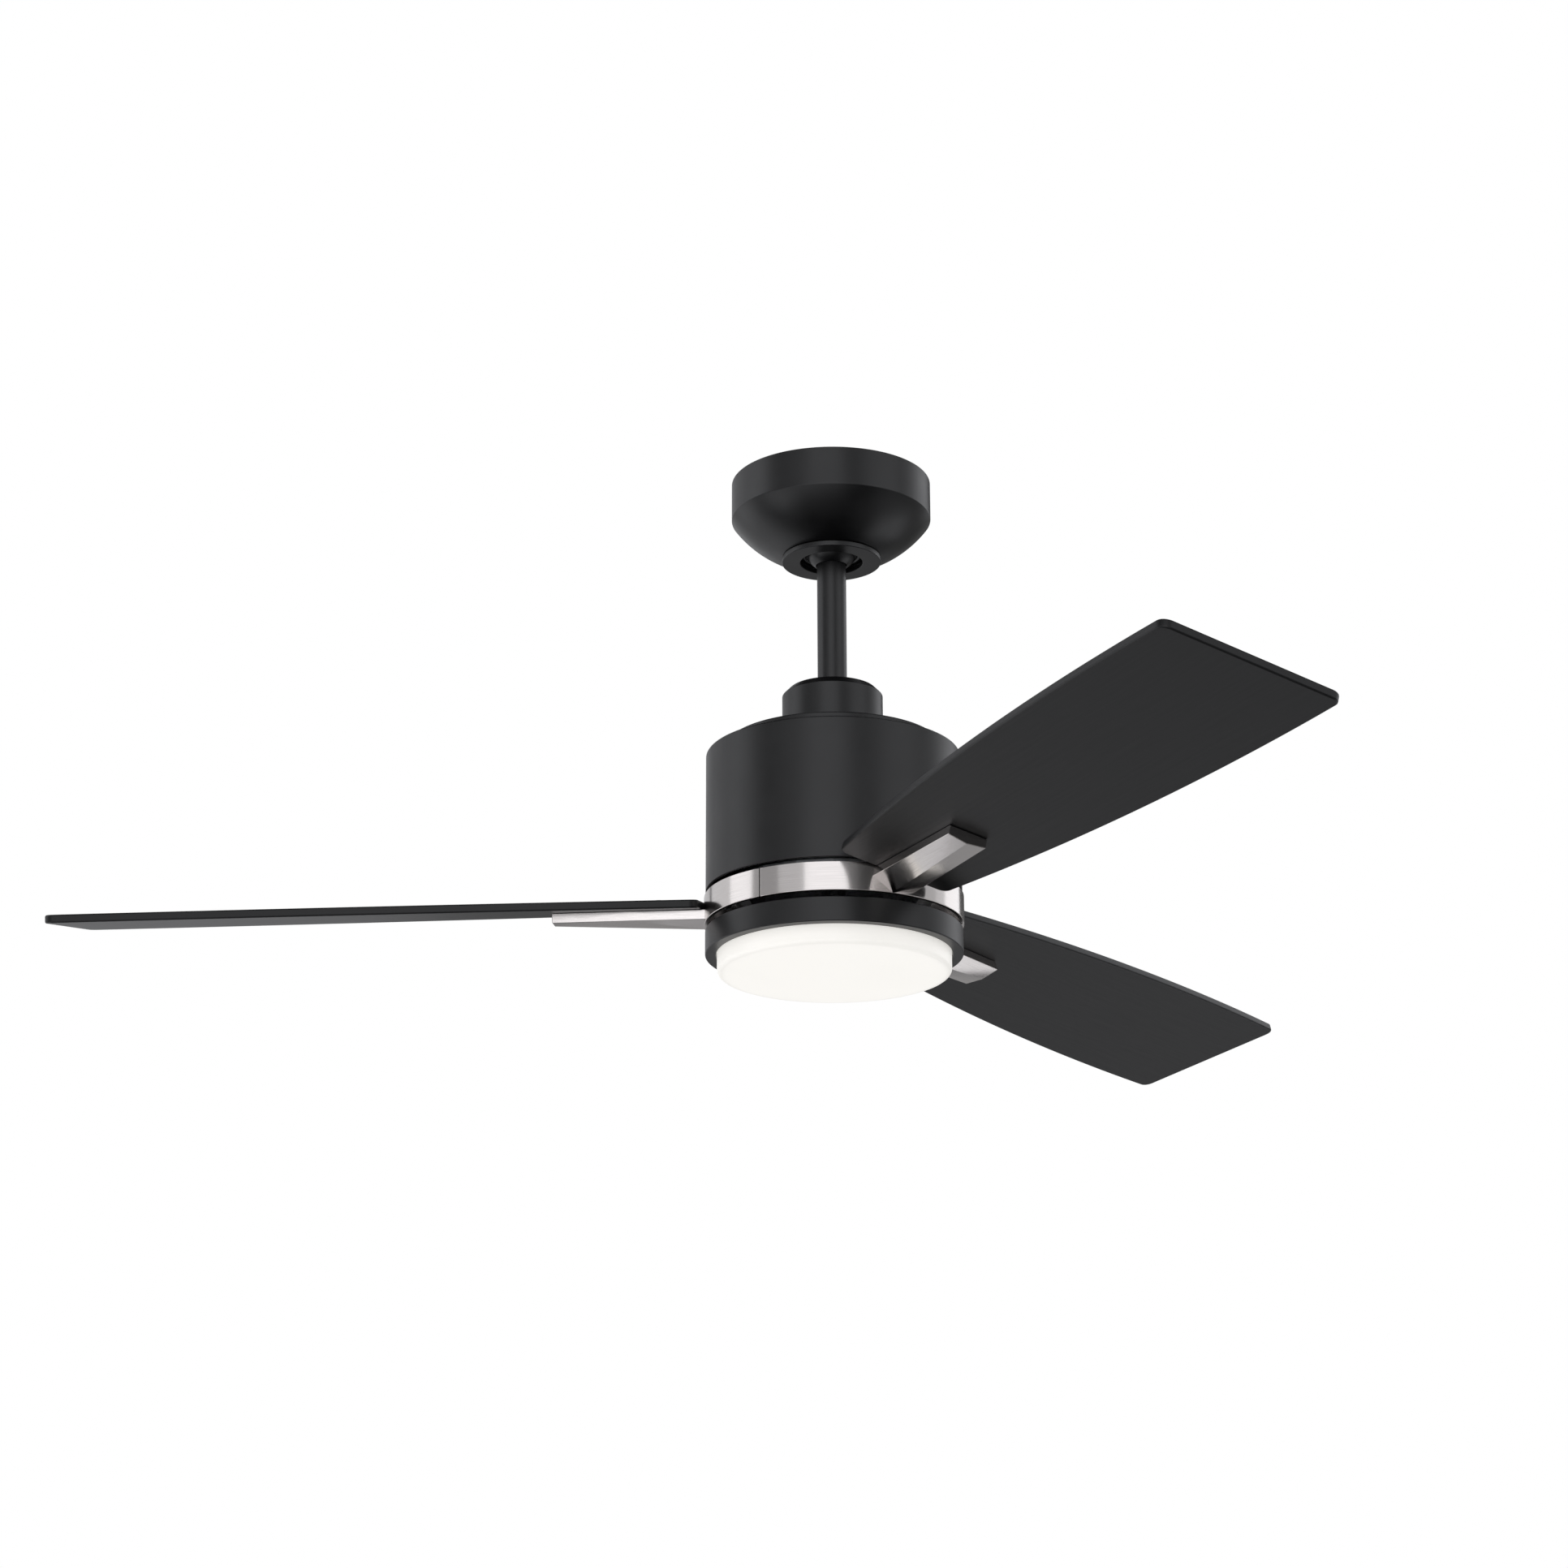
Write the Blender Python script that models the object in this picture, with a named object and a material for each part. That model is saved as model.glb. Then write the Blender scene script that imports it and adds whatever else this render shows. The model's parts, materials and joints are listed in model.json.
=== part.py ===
"""A 44 inch three-blade ceiling fan with an integrated light, hung on a short downrod.

The origin is the middle of the ceiling plane that the hanger bracket is screwed to. +Z is up, so the fan
hangs below it. Every length is in metres. Small screws, pins and leads are pieces of their own.
"""

import math

import bmesh
import bpy
from mathutils import Matrix, Vector

# ---------------------------------------------------------------- driving dimensions
GAP = 0.0003                 # clearance between pieces that touch on the real fan

BLADE_COUNT = 3
SWEEP_RADIUS = 0.5588        # 44 inch sweep
BLADE_PLANE_Z = -0.3253      # where the blades' undersides cross the spin axis
BLADE_PITCH = math.radians(13.57)
FIRST_BLADE_AZIMUTH = math.radians(-63.85)
BLADE_THICKNESS = 0.0060
BLADE_ROOT_RADIUS = 0.0935
BLADE_HALF_WIDTHS = (0.0424, 0.0613, 0.06325)   # at the root, half way out and at the tip
BLADE_SHIFT = -0.0008        # of the blade's middle line towards its raised edge
BLADE_CORNER = 0.0075
BLADE_EDGE_BEVEL = 0.0016
BLADE_SCREW_PLACES = ((0.125, -0.0065), (0.125, 0.0110), (0.182, 0.0022))

CANOPY_RADIUS = 0.07345
CANOPY_WALL_DEPTH = 0.0286
CANOPY_FLOOR_RADIUS = 0.0360
CANOPY_DEPTH = 0.0574
CANOPY_DOME_BULGE = 0.0034
CANOPY_HOLE_RADIUS = 0.0250
SHEET = 0.0015               # sheet metal of the canopy, the coupling cover and the light pan

TRIM_RADIUS = 0.0364
TRIM_HOLE_RADIUS = 0.0230
TRIM_TOP_Z = -0.0581
TRIM_BOTTOM_Z = -0.0617

PIVOT_Z = -0.0458            # centre of the hanger ball
BALL_RADIUS = 0.0216
BALL_TOP_HEIGHT = 0.0110     # of its flat top over its centre
LINER_THICKNESS = 0.0014
ROD_RADIUS = 0.01067         # half inch pipe
ROD_BORE_RADIUS = 0.0083
ROD_TOP_Z = -0.0351
ROD_BOTTOM_Z = -0.1970
PIN_RADIUS = 0.0030
CROSS_PIN_Z = -0.0392
CLEVIS_PIN_Z = -0.1870

COVER_RADIUS = 0.03658
COVER_TOP_Z = -0.16145
COVER_CHAMFER = (0.0051, 0.0052)
COVER_BOTTOM_Z = -0.2039

HOUSING_RADIUS = 0.09182
HOUSING_CROWN_RADIUS = 0.0782
HOUSING_CROWN_Z = -0.2043
HOUSING_RIM_Z = -0.2121
HOUSING_BOTTOM_Z = -0.3153
HOUSING_WALL = 0.0020

SHAFT_RADIUS = 0.0085
SHAFT_BORE_RADIUS = 0.0055
SHAFT_TOP_Z = -0.1990
SHAFT_BOTTOM_Z = -0.3495
STATOR_RADIUS = 0.0540
STATOR_TOP_Z = -0.2540
STATOR_BOTTOM_Z = -0.2760
STATOR_SLOTS = 12
ROTOR_RADIUS = 0.0660
ROTOR_BORE_RADIUS = 0.0613
ROTOR_SPLIT_Z = -0.2648
ROTOR_FLANGE_RADIUS = 0.0840
ROTOR_FLANGE_Z = -0.3186     # its underside, which the blade arms are screwed to

BEARING_BORE = 0.0088        # a 17 x 40 x 12 mm ball bearing
BEARING_INNER_RADIUS = 0.0112
BEARING_OUTER_BORE = 0.0173
BEARING_RADIUS = 0.0200
BEARING_WIDTH = 0.0120
BEARING_UPPER_Z = -0.2350
BEARING_LOWER_Z = -0.2950
BALLS_IN_BEARING = 8
BEARING_BALL_RADIUS = 0.0027
BEARING_PITCH_RADIUS = 0.01425

RING_RADIUS = 0.0929
RING_WALL = 0.0030
RING_TOP_Z = -0.3190
RING_BOTTOM_Z = -0.3397
RING_SEAM_HALF_ANGLE = math.radians(0.26)
RING_FLANGE_RADIUS = 0.0700
RING_FLANGE = 0.0035
ARM_SCREW_RADIUS = 0.0770
ARM_ROOT_X = 0.0902
ARM_END_X = 0.2010
ARM_SIDE = 0.0070            # height of the arm's two side walls
ARM_ROOT_SECTION = (0.0032, 0.0168, 0.0140)   # middle line, half width and ridge depth
ARM_END_SECTION = (0.0022, 0.0144, 0.0090)

PAN_RADIUS = 0.09208
PAN_TOP_Z = -0.3438
PAN_BOTTOM_Z = -0.3616
PAN_HOLE_RADIUS = 0.0842
LENS_RADIUS = 0.08359
LENS_NECK_RADIUS = 0.0810
LENS_TOP_Z = -0.3546
LENS_SHOULDER_Z = -0.3592
LENS_BOTTOM_Z = -0.3749
LENS_CORNER = 0.0022
LENS_WALL = 0.0025
TAB_HALF_ANGLE = math.radians(6)
TAB_RADIUS = 0.0834
TAB_HEIGHT = 0.0023
LENS_LOCK_ANGLE = math.radians(25)   # the twist that frees the lens

ROUND = 32                   # sides of the large turned pieces that show
SEAT_ROUND = 24              # of the ball joint
SMALL_ROUND = 20             # of rods, bearings and everything inside the motor
SCREW_ROUND = 8

FINISHES = {
    "satin_black_paint": ((0.020, 0.020, 0.022), 0.0, 0.42),
    "brushed_nickel": ((0.62, 0.59, 0.56), 1.0, 0.28),
    "black_blade": ((0.016, 0.016, 0.017), 0.0, 0.45),
    "opal_lens": ((0.93, 0.92, 0.88), 0.0, 0.35),
    "zinc_steel": ((0.48, 0.48, 0.47), 1.0, 0.38),
    "bearing_steel": ((0.56, 0.56, 0.57), 1.0, 0.18),
    "cast_aluminium": ((0.50, 0.50, 0.51), 1.0, 0.45),
    "silicon_steel": ((0.22, 0.22, 0.23), 1.0, 0.50),
    "magnet_ferrite": ((0.06, 0.06, 0.065), 0.0, 0.60),
    "enamelled_copper": ((0.55, 0.22, 0.09), 1.0, 0.32),
    "nylon": ((0.035, 0.035, 0.035), 0.0, 0.50),
    "moulded_black": ((0.025, 0.025, 0.026), 0.0, 0.55),
    "white_moulding": ((0.85, 0.85, 0.83), 0.0, 0.50),
    "circuit_board": ((0.82, 0.83, 0.82), 0.0, 0.40),
    "black_oxide_screw": ((0.03, 0.03, 0.032), 1.0, 0.40),
    "cable_jacket": ((0.03, 0.03, 0.03), 0.0, 0.60),
}


# ---------------------------------------------------------------- making and cutting
def clear_scene():
    for obj in list(bpy.data.objects):
        bpy.data.objects.remove(obj)


def make_finish(name):
    colour, metallic, roughness = FINISHES[name]
    material = bpy.data.materials.new(name)
    material.use_nodes = True
    surface = material.node_tree.nodes["Principled BSDF"]
    surface.inputs["Base Color"].default_value = (*colour, 1.0)
    surface.inputs["Metallic"].default_value = metallic
    surface.inputs["Roughness"].default_value = roughness
    return material


def finish_of(name):
    return bpy.data.materials.get(name) or make_finish(name)


def add_object(name, data, finish=None, smooth=True):
    """Links a mesh or a curve as one named piece. With no finish it is a cutter, and is hidden."""
    obj = bpy.data.objects.new(name, data)
    bpy.context.scene.collection.objects.link(obj)
    if finish is None:
        obj.hide_render = True
        obj.display_type = "WIRE"
        return obj
    data.materials.append(finish_of(finish))
    if smooth and obj.type == "MESH":
        data.shade_smooth()
        data.set_sharp_from_angle(angle=math.radians(35))
    return obj


def mesh_from(bm, name):
    bmesh.ops.recalc_face_normals(bm, faces=bm.faces)
    mesh = bpy.data.meshes.new(name)
    bm.to_mesh(mesh)
    bm.free()
    return mesh


def turned(name, profile, finish=None, sides=ROUND):
    """Spins a closed outline of (radius, height) points round the Z axis."""
    bm = bmesh.new()
    points = [bm.verts.new((radius, 0.0, height)) for radius, height in profile]
    edges = [bm.edges.new((a, b)) for a, b in zip(points, points[1:] + points[:1])]
    bmesh.ops.spin(bm, geom=points + edges, cent=(0, 0, 0), axis=(0, 0, 1), dvec=(0, 0, 0),
                   angle=2 * math.pi, steps=sides, use_merge=True, use_normal_flip=False, use_duplicate=False)
    bmesh.ops.remove_doubles(bm, verts=bm.verts, dist=1e-6)
    bmesh.ops.dissolve_degenerate(bm, edges=bm.edges, dist=1e-7)
    return add_object(name, mesh_from(bm, name), finish)


def turned_part_way(name, profile, start, end, finish=None, steps=12):
    """Spins a closed outline of (radius, height) points from one azimuth to another, with flat ends."""
    bm = bmesh.new()
    at_start = Matrix.Rotation(start, 3, "Z")
    face = bm.faces.new([bm.verts.new(at_start @ Vector((r, 0.0, z))) for r, z in profile])
    bmesh.ops.spin(bm, geom=[face], cent=(0, 0, 0), axis=(0, 0, 1), dvec=(0, 0, 0),
                   angle=end - start, steps=steps, use_merge=False, use_normal_flip=False,
                   use_duplicate=False)
    return add_object(name, mesh_from(bm, name), finish)


def extruded(name, outline, bottom, top, finish=None, smooth=False):
    """Raises a flat (x, y) outline from one height to another."""
    bm = bmesh.new()
    face = bm.faces.new([bm.verts.new((x, y, bottom)) for x, y in outline])
    raised = bmesh.ops.extrude_face_region(bm, geom=[face])["geom"]
    bmesh.ops.translate(bm, verts=[v for v in raised if isinstance(v, bmesh.types.BMVert)],
                        vec=(0, 0, top - bottom))
    return add_object(name, mesh_from(bm, name), finish, smooth)


def block(name, low, high, finish=None, bevel=0.0):
    bm = bmesh.new()
    middle = (Vector(low) + Vector(high)) / 2
    size = Vector(high) - Vector(low)
    bmesh.ops.create_cube(bm, size=1.0, matrix=Matrix.Translation(middle) @ Matrix.Diagonal((*size, 1.0)))
    if bevel:
        bmesh.ops.bevel(bm, geom=list(bm.edges), offset=bevel, segments=1, affect="EDGES", profile=0.5)
    return add_object(name, mesh_from(bm, name), finish, smooth=bool(bevel))


def rod_between(name, start, end, radius, finish=None, sides=SCREW_ROUND):
    """A plain round bar from one point to another."""
    start = Vector(start)
    along = Vector(end) - start
    turn = Vector((0, 0, 1)).rotation_difference(along).to_matrix().to_4x4()
    bm = bmesh.new()
    bmesh.ops.create_cone(bm, cap_ends=True, segments=sides, radius1=radius, radius2=radius,
                          depth=along.length,
                          matrix=Matrix.Translation(start + along / 2) @ turn)
    return add_object(name, mesh_from(bm, name), finish)


def use_boolean(obj, other, operation):
    modifier = obj.modifiers.new(f"{operation.lower()} {other.name}", "BOOLEAN")
    modifier.operation = operation
    modifier.solver = "EXACT"
    modifier.object = other


def cut(obj, *cutters):
    for cutter in cutters:
        use_boolean(obj, cutter, "DIFFERENCE")


def join(obj, *others):
    for other in others:
        use_boolean(obj, other, "UNION")


def polar(radius, azimuth, height=0.0):
    return Vector((radius * math.cos(azimuth), radius * math.sin(azimuth), height))


def hole(name, x, y, low, high, radius):
    """An upright cutter for a screw's hole."""
    return rod_between(name, (x, y, low), (x, y, high), radius)


def screw(name, x, y, seat, head_height, tip, radius, head_radius, finish, direction=1):
    """A pan-head screw at (x, y). Its head sits on seat, and its shank runs from there to tip."""
    head_top = seat + direction * head_height
    chamfer = direction * head_height * 0.4
    profile = [(0.0, head_top), (head_radius * 0.7, head_top), (head_radius, head_top - chamfer),
               (head_radius, seat), (radius, seat), (radius, tip), (0.0, tip)]
    obj = turned(name, profile, finish, SCREW_ROUND)
    obj.location = (x, y, 0.0)
    return obj


def arc(centre_height, radius, start, end, steps):
    """(radius, height) points of an arc round a point on the axis, by elevation angle."""
    angles = [start + (end - start) * i / steps for i in range(steps + 1)]
    return [(radius * math.cos(a), centre_height + radius * math.sin(a)) for a in angles]


# ---------------------------------------------------------------- at the ceiling
BRACKET_HALF_LENGTH = 0.0540
BRACKET_HALF_WIDTH = 0.0200
BRACKET_PLATE = 0.0020
BRACKET_LEG_X = 0.0340
BRACKET_LEG_HALF_WIDTH = 0.0140
SEAT_TOP_Z = -0.0523
SEAT_BOTTOM_Z = -0.0548
SEAT_RADIUS = 0.0350
BOX_SCREW_X = 0.04445        # half the 3.5 inch screw spacing of a ceiling box
CANOPY_SCREW_RADIUS = 0.0300
CANOPY_SCREW_AZIMUTHS = (math.radians(45), math.radians(225))
CANOPY_SCREW_END_Z = -0.0500
RECEIVER_HALF_LENGTH = 0.0290
RECEIVER_HALF_WIDTH = 0.0215
RECEIVER_BOTTOM_Z = -0.0235


def make_bracket():
    """A stamped plate with two legs that carry a round seat. The seat is open at the back for the ball."""
    seat_sphere = BALL_RADIUS + LINER_THICKNESS + 0.0007
    high = math.asin((SEAT_TOP_Z - PIVOT_Z) / seat_sphere)
    low = math.asin((SEAT_BOTTOM_Z - PIVOT_Z) / seat_sphere)
    seat = turned("bracket_seat", arc(PIVOT_Z, seat_sphere, high, low, 2) +
                  [(SEAT_RADIUS, SEAT_BOTTOM_Z), (SEAT_RADIUS, SEAT_TOP_Z)], sides=SEAT_ROUND)
    bracket = block("hanger_bracket", (-BRACKET_HALF_LENGTH, -BRACKET_HALF_WIDTH, -BRACKET_PLATE),
                    (BRACKET_HALF_LENGTH, BRACKET_HALF_WIDTH, 0.0), "zinc_steel")
    foot_z = SEAT_TOP_Z - 0.0012
    legs = []
    for side in (-1, 1):
        outer_x = side * BRACKET_LEG_X
        inner_x = outer_x - side * BRACKET_PLATE
        legs.append(block(f"bracket_leg_{side:+d}", (min(inner_x, outer_x), -BRACKET_LEG_HALF_WIDTH, foot_z),
                          (max(inner_x, outer_x), BRACKET_LEG_HALF_WIDTH, -0.0010)))
    join(bracket, *legs, seat)
    way_in = block("bracket_way_in", (-0.0120, 0.0050, SEAT_BOTTOM_Z - 0.001),
                   (0.0120, 0.0400, SEAT_TOP_Z + 0.001))
    slots = [block(f"bracket_slot_{side:+d}", (side * BOX_SCREW_X - 0.0025, -0.0060, -0.0040),
                   (side * BOX_SCREW_X + 0.0025, 0.0060, 0.0020)) for side in (-1, 1)]
    holes = [hole(f"bracket_hole_{i}", *polar(CANOPY_SCREW_RADIUS, a)[:2], SEAT_BOTTOM_Z - 0.001,
                  SEAT_TOP_Z + 0.001, 0.0021) for i, a in enumerate(CANOPY_SCREW_AZIMUTHS)]
    cut(bracket, way_in, *slots, *holes)


def dome_points(inset, steps=5):
    """The canopy's shallow dome as (radius, height) points, from its wall down to its floor."""
    start = Vector((CANOPY_RADIUS - inset, -CANOPY_WALL_DEPTH))
    end = Vector((CANOPY_FLOOR_RADIUS - 0.35 * inset, -CANOPY_DEPTH + inset))
    along = end - start
    outward = Vector((-along.y, along.x)).normalized()
    points = []
    for i in range(steps + 1):
        t = i / steps
        points.append(tuple(start + along * t + outward * (4 * CANOPY_DOME_BULGE * t * (1 - t))))
    return points


def make_canopy():
    outer = [(CANOPY_RADIUS, 0.0)] + dome_points(0.0) + [(CANOPY_HOLE_RADIUS, -CANOPY_DEPTH)]
    inner = [(CANOPY_RADIUS - SHEET, 0.0)] + dome_points(SHEET)
    inner.append((CANOPY_HOLE_RADIUS, -CANOPY_DEPTH + SHEET))
    canopy = turned("canopy", outer + inner[::-1], "satin_black_paint")
    holes = [hole(f"canopy_hole_{i}", *polar(CANOPY_SCREW_RADIUS, a)[:2], -CANOPY_DEPTH - 0.001,
                  -CANOPY_DEPTH + SHEET + 0.001, 0.0023) for i, a in enumerate(CANOPY_SCREW_AZIMUTHS)]
    cut(canopy, *holes)
    for i, azimuth in enumerate(CANOPY_SCREW_AZIMUTHS, 1):
        x, y = polar(CANOPY_SCREW_RADIUS, azimuth)[:2]
        screw(f"canopy_screw_{i}", x, y, -CANOPY_DEPTH - GAP, 0.0020, CANOPY_SCREW_END_Z, 0.0018, 0.0034,
              "black_oxide_screw", direction=-1)


def make_trim_ring():
    """A channel that hides the two canopy screws."""
    wall = 0.0012
    turned("canopy_trim_ring", [
        (TRIM_RADIUS, TRIM_TOP_Z), (TRIM_RADIUS, TRIM_BOTTOM_Z),
        (TRIM_HOLE_RADIUS, TRIM_BOTTOM_Z), (TRIM_HOLE_RADIUS, TRIM_TOP_Z),
        (TRIM_HOLE_RADIUS + wall, TRIM_TOP_Z), (TRIM_HOLE_RADIUS + wall, TRIM_BOTTOM_Z + wall),
        (TRIM_RADIUS - wall, TRIM_BOTTOM_Z + wall), (TRIM_RADIUS - wall, TRIM_TOP_Z),
    ], "satin_black_paint")


def make_receiver():
    block("control_receiver", (-RECEIVER_HALF_LENGTH, -RECEIVER_HALF_WIDTH, RECEIVER_BOTTOM_Z),
          (RECEIVER_HALF_LENGTH, RECEIVER_HALF_WIDTH, -BRACKET_PLATE - GAP), "moulded_black", bevel=0.0020)


# ---------------------------------------------------------------- ball joint and downrod
LINER_TOP = -0.0030          # the liner's two edges, from the ball's centre
LINER_BOTTOM = -0.0110
BALL_SCREW_Z = -0.0500
BALL_SCREW_END = 0.0195
SET_SCREW_RADIUS = 0.0020
SET_SCREW_HOLE_RADIUS = 0.0023
CROSS_PIN_HALF_LENGTH = 0.0190


def make_liner():
    """A nylon ring between the seat and the ball. Its two faces are parts of spheres round the pivot."""
    inner = BALL_RADIUS + 0.00035
    outer = inner + LINER_THICKNESS
    high, low = math.asin(LINER_TOP / outer), math.asin(LINER_BOTTOM / outer)
    turned("ball_seat_liner", arc(PIVOT_Z, outer, high, low, 2) + arc(PIVOT_Z, inner, low, high, 2),
           "nylon", SEAT_ROUND)


def make_ball():
    bore = ROD_RADIUS + GAP
    top = math.asin(BALL_TOP_HEIGHT / BALL_RADIUS)
    bottom = -math.acos(bore / BALL_RADIUS)
    outline = arc(PIVOT_Z, BALL_RADIUS, top, bottom, 6) + [(bore, PIVOT_Z + BALL_TOP_HEIGHT)]
    ball = turned("hanger_ball", outline, "satin_black_paint", SMALL_ROUND)
    slot = block("ball_slot", (-0.0300, -PIN_RADIUS - 0.0004, CROSS_PIN_Z - PIN_RADIUS - GAP),
                 (0.0300, PIN_RADIUS + 0.0004, PIVOT_Z + BALL_RADIUS))
    screw_hole = rod_between("ball_screw_hole", (0, -0.0060, BALL_SCREW_Z), (0, -0.0300, BALL_SCREW_Z),
                             SET_SCREW_HOLE_RADIUS)
    cut(ball, slot, screw_hole)
    rod_between("ball_cross_pin", (-CROSS_PIN_HALF_LENGTH, 0, CROSS_PIN_Z),
                (CROSS_PIN_HALF_LENGTH, 0, CROSS_PIN_Z), PIN_RADIUS, "zinc_steel", SCREW_ROUND)
    rod_between("ball_set_screw", (0, -ROD_RADIUS - 0.0004, BALL_SCREW_Z), (0, -BALL_SCREW_END, BALL_SCREW_Z),
                SET_SCREW_RADIUS, "black_oxide_screw")


def make_downrod():
    rod = turned("downrod", [
        (ROD_RADIUS, ROD_TOP_Z), (ROD_RADIUS, ROD_BOTTOM_Z),
        (ROD_BORE_RADIUS, ROD_BOTTOM_Z), (ROD_BORE_RADIUS, ROD_TOP_Z),
    ], "satin_black_paint", SMALL_ROUND)
    holes = [rod_between(f"rod_hole_{i}", (-0.0200, 0, z), (0.0200, 0, z), PIN_RADIUS + GAP)
             for i, z in enumerate((CROSS_PIN_Z, CLEVIS_PIN_Z))]
    cut(rod, *holes)


def make_lead_cable():
    """The leads run down beside the two pins in the rod, then along the middle of the hollow motor shaft."""
    beside_pins = 0.0055
    radius = 0.0020
    swing_start, swing_end = -0.1900, -0.2010    # where the leads go from the rod's side to its middle
    lead_end = -0.3500
    straight = [(beside_pins, ROD_TOP_Z - 0.001 + (swing_start - ROD_TOP_Z) * i / 8) for i in range(8)]
    swing = []
    for i in range(9):
        t = i / 8
        ease = t * t * (3 - 2 * t)
        swing.append((beside_pins * (1 - ease), swing_start + (swing_end - swing_start) * t))
    shaft = [(0.0, swing_end + (lead_end - swing_end) * i / 6) for i in range(1, 7)]
    route = straight + swing + shaft
    curve = bpy.data.curves.new("lead_cable", "CURVE")
    curve.dimensions = "3D"
    curve.bevel_depth = radius
    curve.bevel_resolution = 2
    curve.use_fill_caps = True
    spline = curve.splines.new("POLY")
    spline.points.add(len(route) - 1)
    for point, (y, z) in zip(spline.points, route):
        point.co = (0.0, y, z, 1.0)
    add_object("lead_cable", curve, "cable_jacket")


def make_coupling_cover():
    across, down = COVER_CHAMFER
    hole_radius = ROD_RADIUS + 0.0009
    turned("coupling_cover", [
        (COVER_RADIUS, COVER_BOTTOM_Z), (COVER_RADIUS, COVER_TOP_Z - down),
        (COVER_RADIUS - across, COVER_TOP_Z), (hole_radius, COVER_TOP_Z), (hole_radius, COVER_TOP_Z - SHEET),
        (COVER_RADIUS - across - 0.4 * SHEET, COVER_TOP_Z - SHEET),
        (COVER_RADIUS - SHEET, COVER_TOP_Z - down - 0.4 * SHEET), (COVER_RADIUS - SHEET, COVER_BOTTOM_Z),
    ], "satin_black_paint")


# ---------------------------------------------------------------- motor housing and the parts that stay still
YOKE_RADIUS = 0.0175
YOKE_TOP_Z = -0.1760
YOKE_FLANGE_RADIUS = 0.0360
YOKE_FLANGE_Z = (-0.20665, -0.2115)
YOKE_SCREW_Z = -0.1805
YOKE_SCREW_END = 0.0205
HOUSING_SCREW_RADIUS = 0.0270
HOUSING_SCREW_AZIMUTHS = (math.radians(60), math.radians(240))
HOUSING_SCREW_END_Z = -0.2110
SCREW_HOLE_RADIUS = 0.0023
WINDING_TOP_Z = -0.2460
WINDING_BOTTOM_Z = -0.2848
MOUNT_PLATE_Z = (-0.3410, -0.3435)
PAN_SCREW_RADIUS = 0.0380
PAN_SCREW_AZIMUTHS = (math.radians(-90), math.radians(150))


def make_yoke():
    """The collar that the rod is pinned in, with a flange under the housing's top."""
    bore = ROD_RADIUS + GAP
    top, bottom = YOKE_FLANGE_Z
    yoke = turned("motor_yoke", [
        (YOKE_RADIUS, YOKE_TOP_Z), (YOKE_RADIUS, top), (YOKE_FLANGE_RADIUS, top),
        (YOKE_FLANGE_RADIUS, bottom), (BEARING_BORE, bottom), (BEARING_BORE, ROD_BOTTOM_Z - GAP),
        (bore, ROD_BOTTOM_Z - GAP), (bore, YOKE_TOP_Z),
    ], "zinc_steel", SMALL_ROUND)
    pin_hole = rod_between("yoke_pin_hole", (-0.0300, 0, CLEVIS_PIN_Z), (0.0300, 0, CLEVIS_PIN_Z),
                           PIN_RADIUS + GAP)
    screw_hole = rod_between("yoke_screw_hole", (0, -0.0060, YOKE_SCREW_Z), (0, -0.0300, YOKE_SCREW_Z),
                             SET_SCREW_HOLE_RADIUS)
    holes = [hole(f"yoke_flange_hole_{i}", *polar(HOUSING_SCREW_RADIUS, a)[:2], bottom - 0.001, top + 0.001,
                  SCREW_HOLE_RADIUS) for i, a in enumerate(HOUSING_SCREW_AZIMUTHS)]
    cut(yoke, pin_hole, screw_hole, *holes)
    rod_between("yoke_set_screw", (0, -ROD_RADIUS - 0.0004, YOKE_SCREW_Z), (0, -YOKE_SCREW_END, YOKE_SCREW_Z),
                SET_SCREW_RADIUS, "black_oxide_screw")


def make_clevis_pin():
    """A headed pin through the yoke and the rod, kept in by a spring clip through its end."""
    clip_x = 0.0198
    head_radius = 0.0046
    pin = rod_between("clevis_pin", (-0.0210, 0, CLEVIS_PIN_Z), (0.0230, 0, CLEVIS_PIN_Z), PIN_RADIUS,
                      "zinc_steel")
    head = rod_between("clevis_pin_head", (-0.0230, 0, CLEVIS_PIN_Z), (-0.0205, 0, CLEVIS_PIN_Z), head_radius)
    clip_hole = rod_between("clevis_clip_hole", (clip_x, 0, CLEVIS_PIN_Z - 0.006),
                            (clip_x, 0, CLEVIS_PIN_Z + 0.006), 0.0011)
    join(pin, head)
    cut(pin, clip_hole)
    curve = bpy.data.curves.new("hairpin_clip", "CURVE")
    curve.dimensions = "3D"
    curve.bevel_depth = 0.0007
    curve.bevel_resolution = 1
    curve.use_fill_caps = True
    loop = [(-0.0022 + 0.0022 * math.cos(a), 0.0080 + 0.0030 * math.sin(a))
            for a in (math.radians(18 * i) for i in range(11))]
    grip = [(-0.0046, 0.0045), (-0.0048, 0.0), (-0.0046, -0.0045), (-0.0055, -0.0080)]
    route = [(0.0, -0.0090)] + loop + grip
    spline = curve.splines.new("POLY")
    spline.points.add(len(route) - 1)
    for point, (y, z) in zip(spline.points, route):
        point.co = (clip_x, y, CLEVIS_PIN_Z + z, 1.0)
    add_object("hairpin_clip", curve, "zinc_steel")


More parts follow.
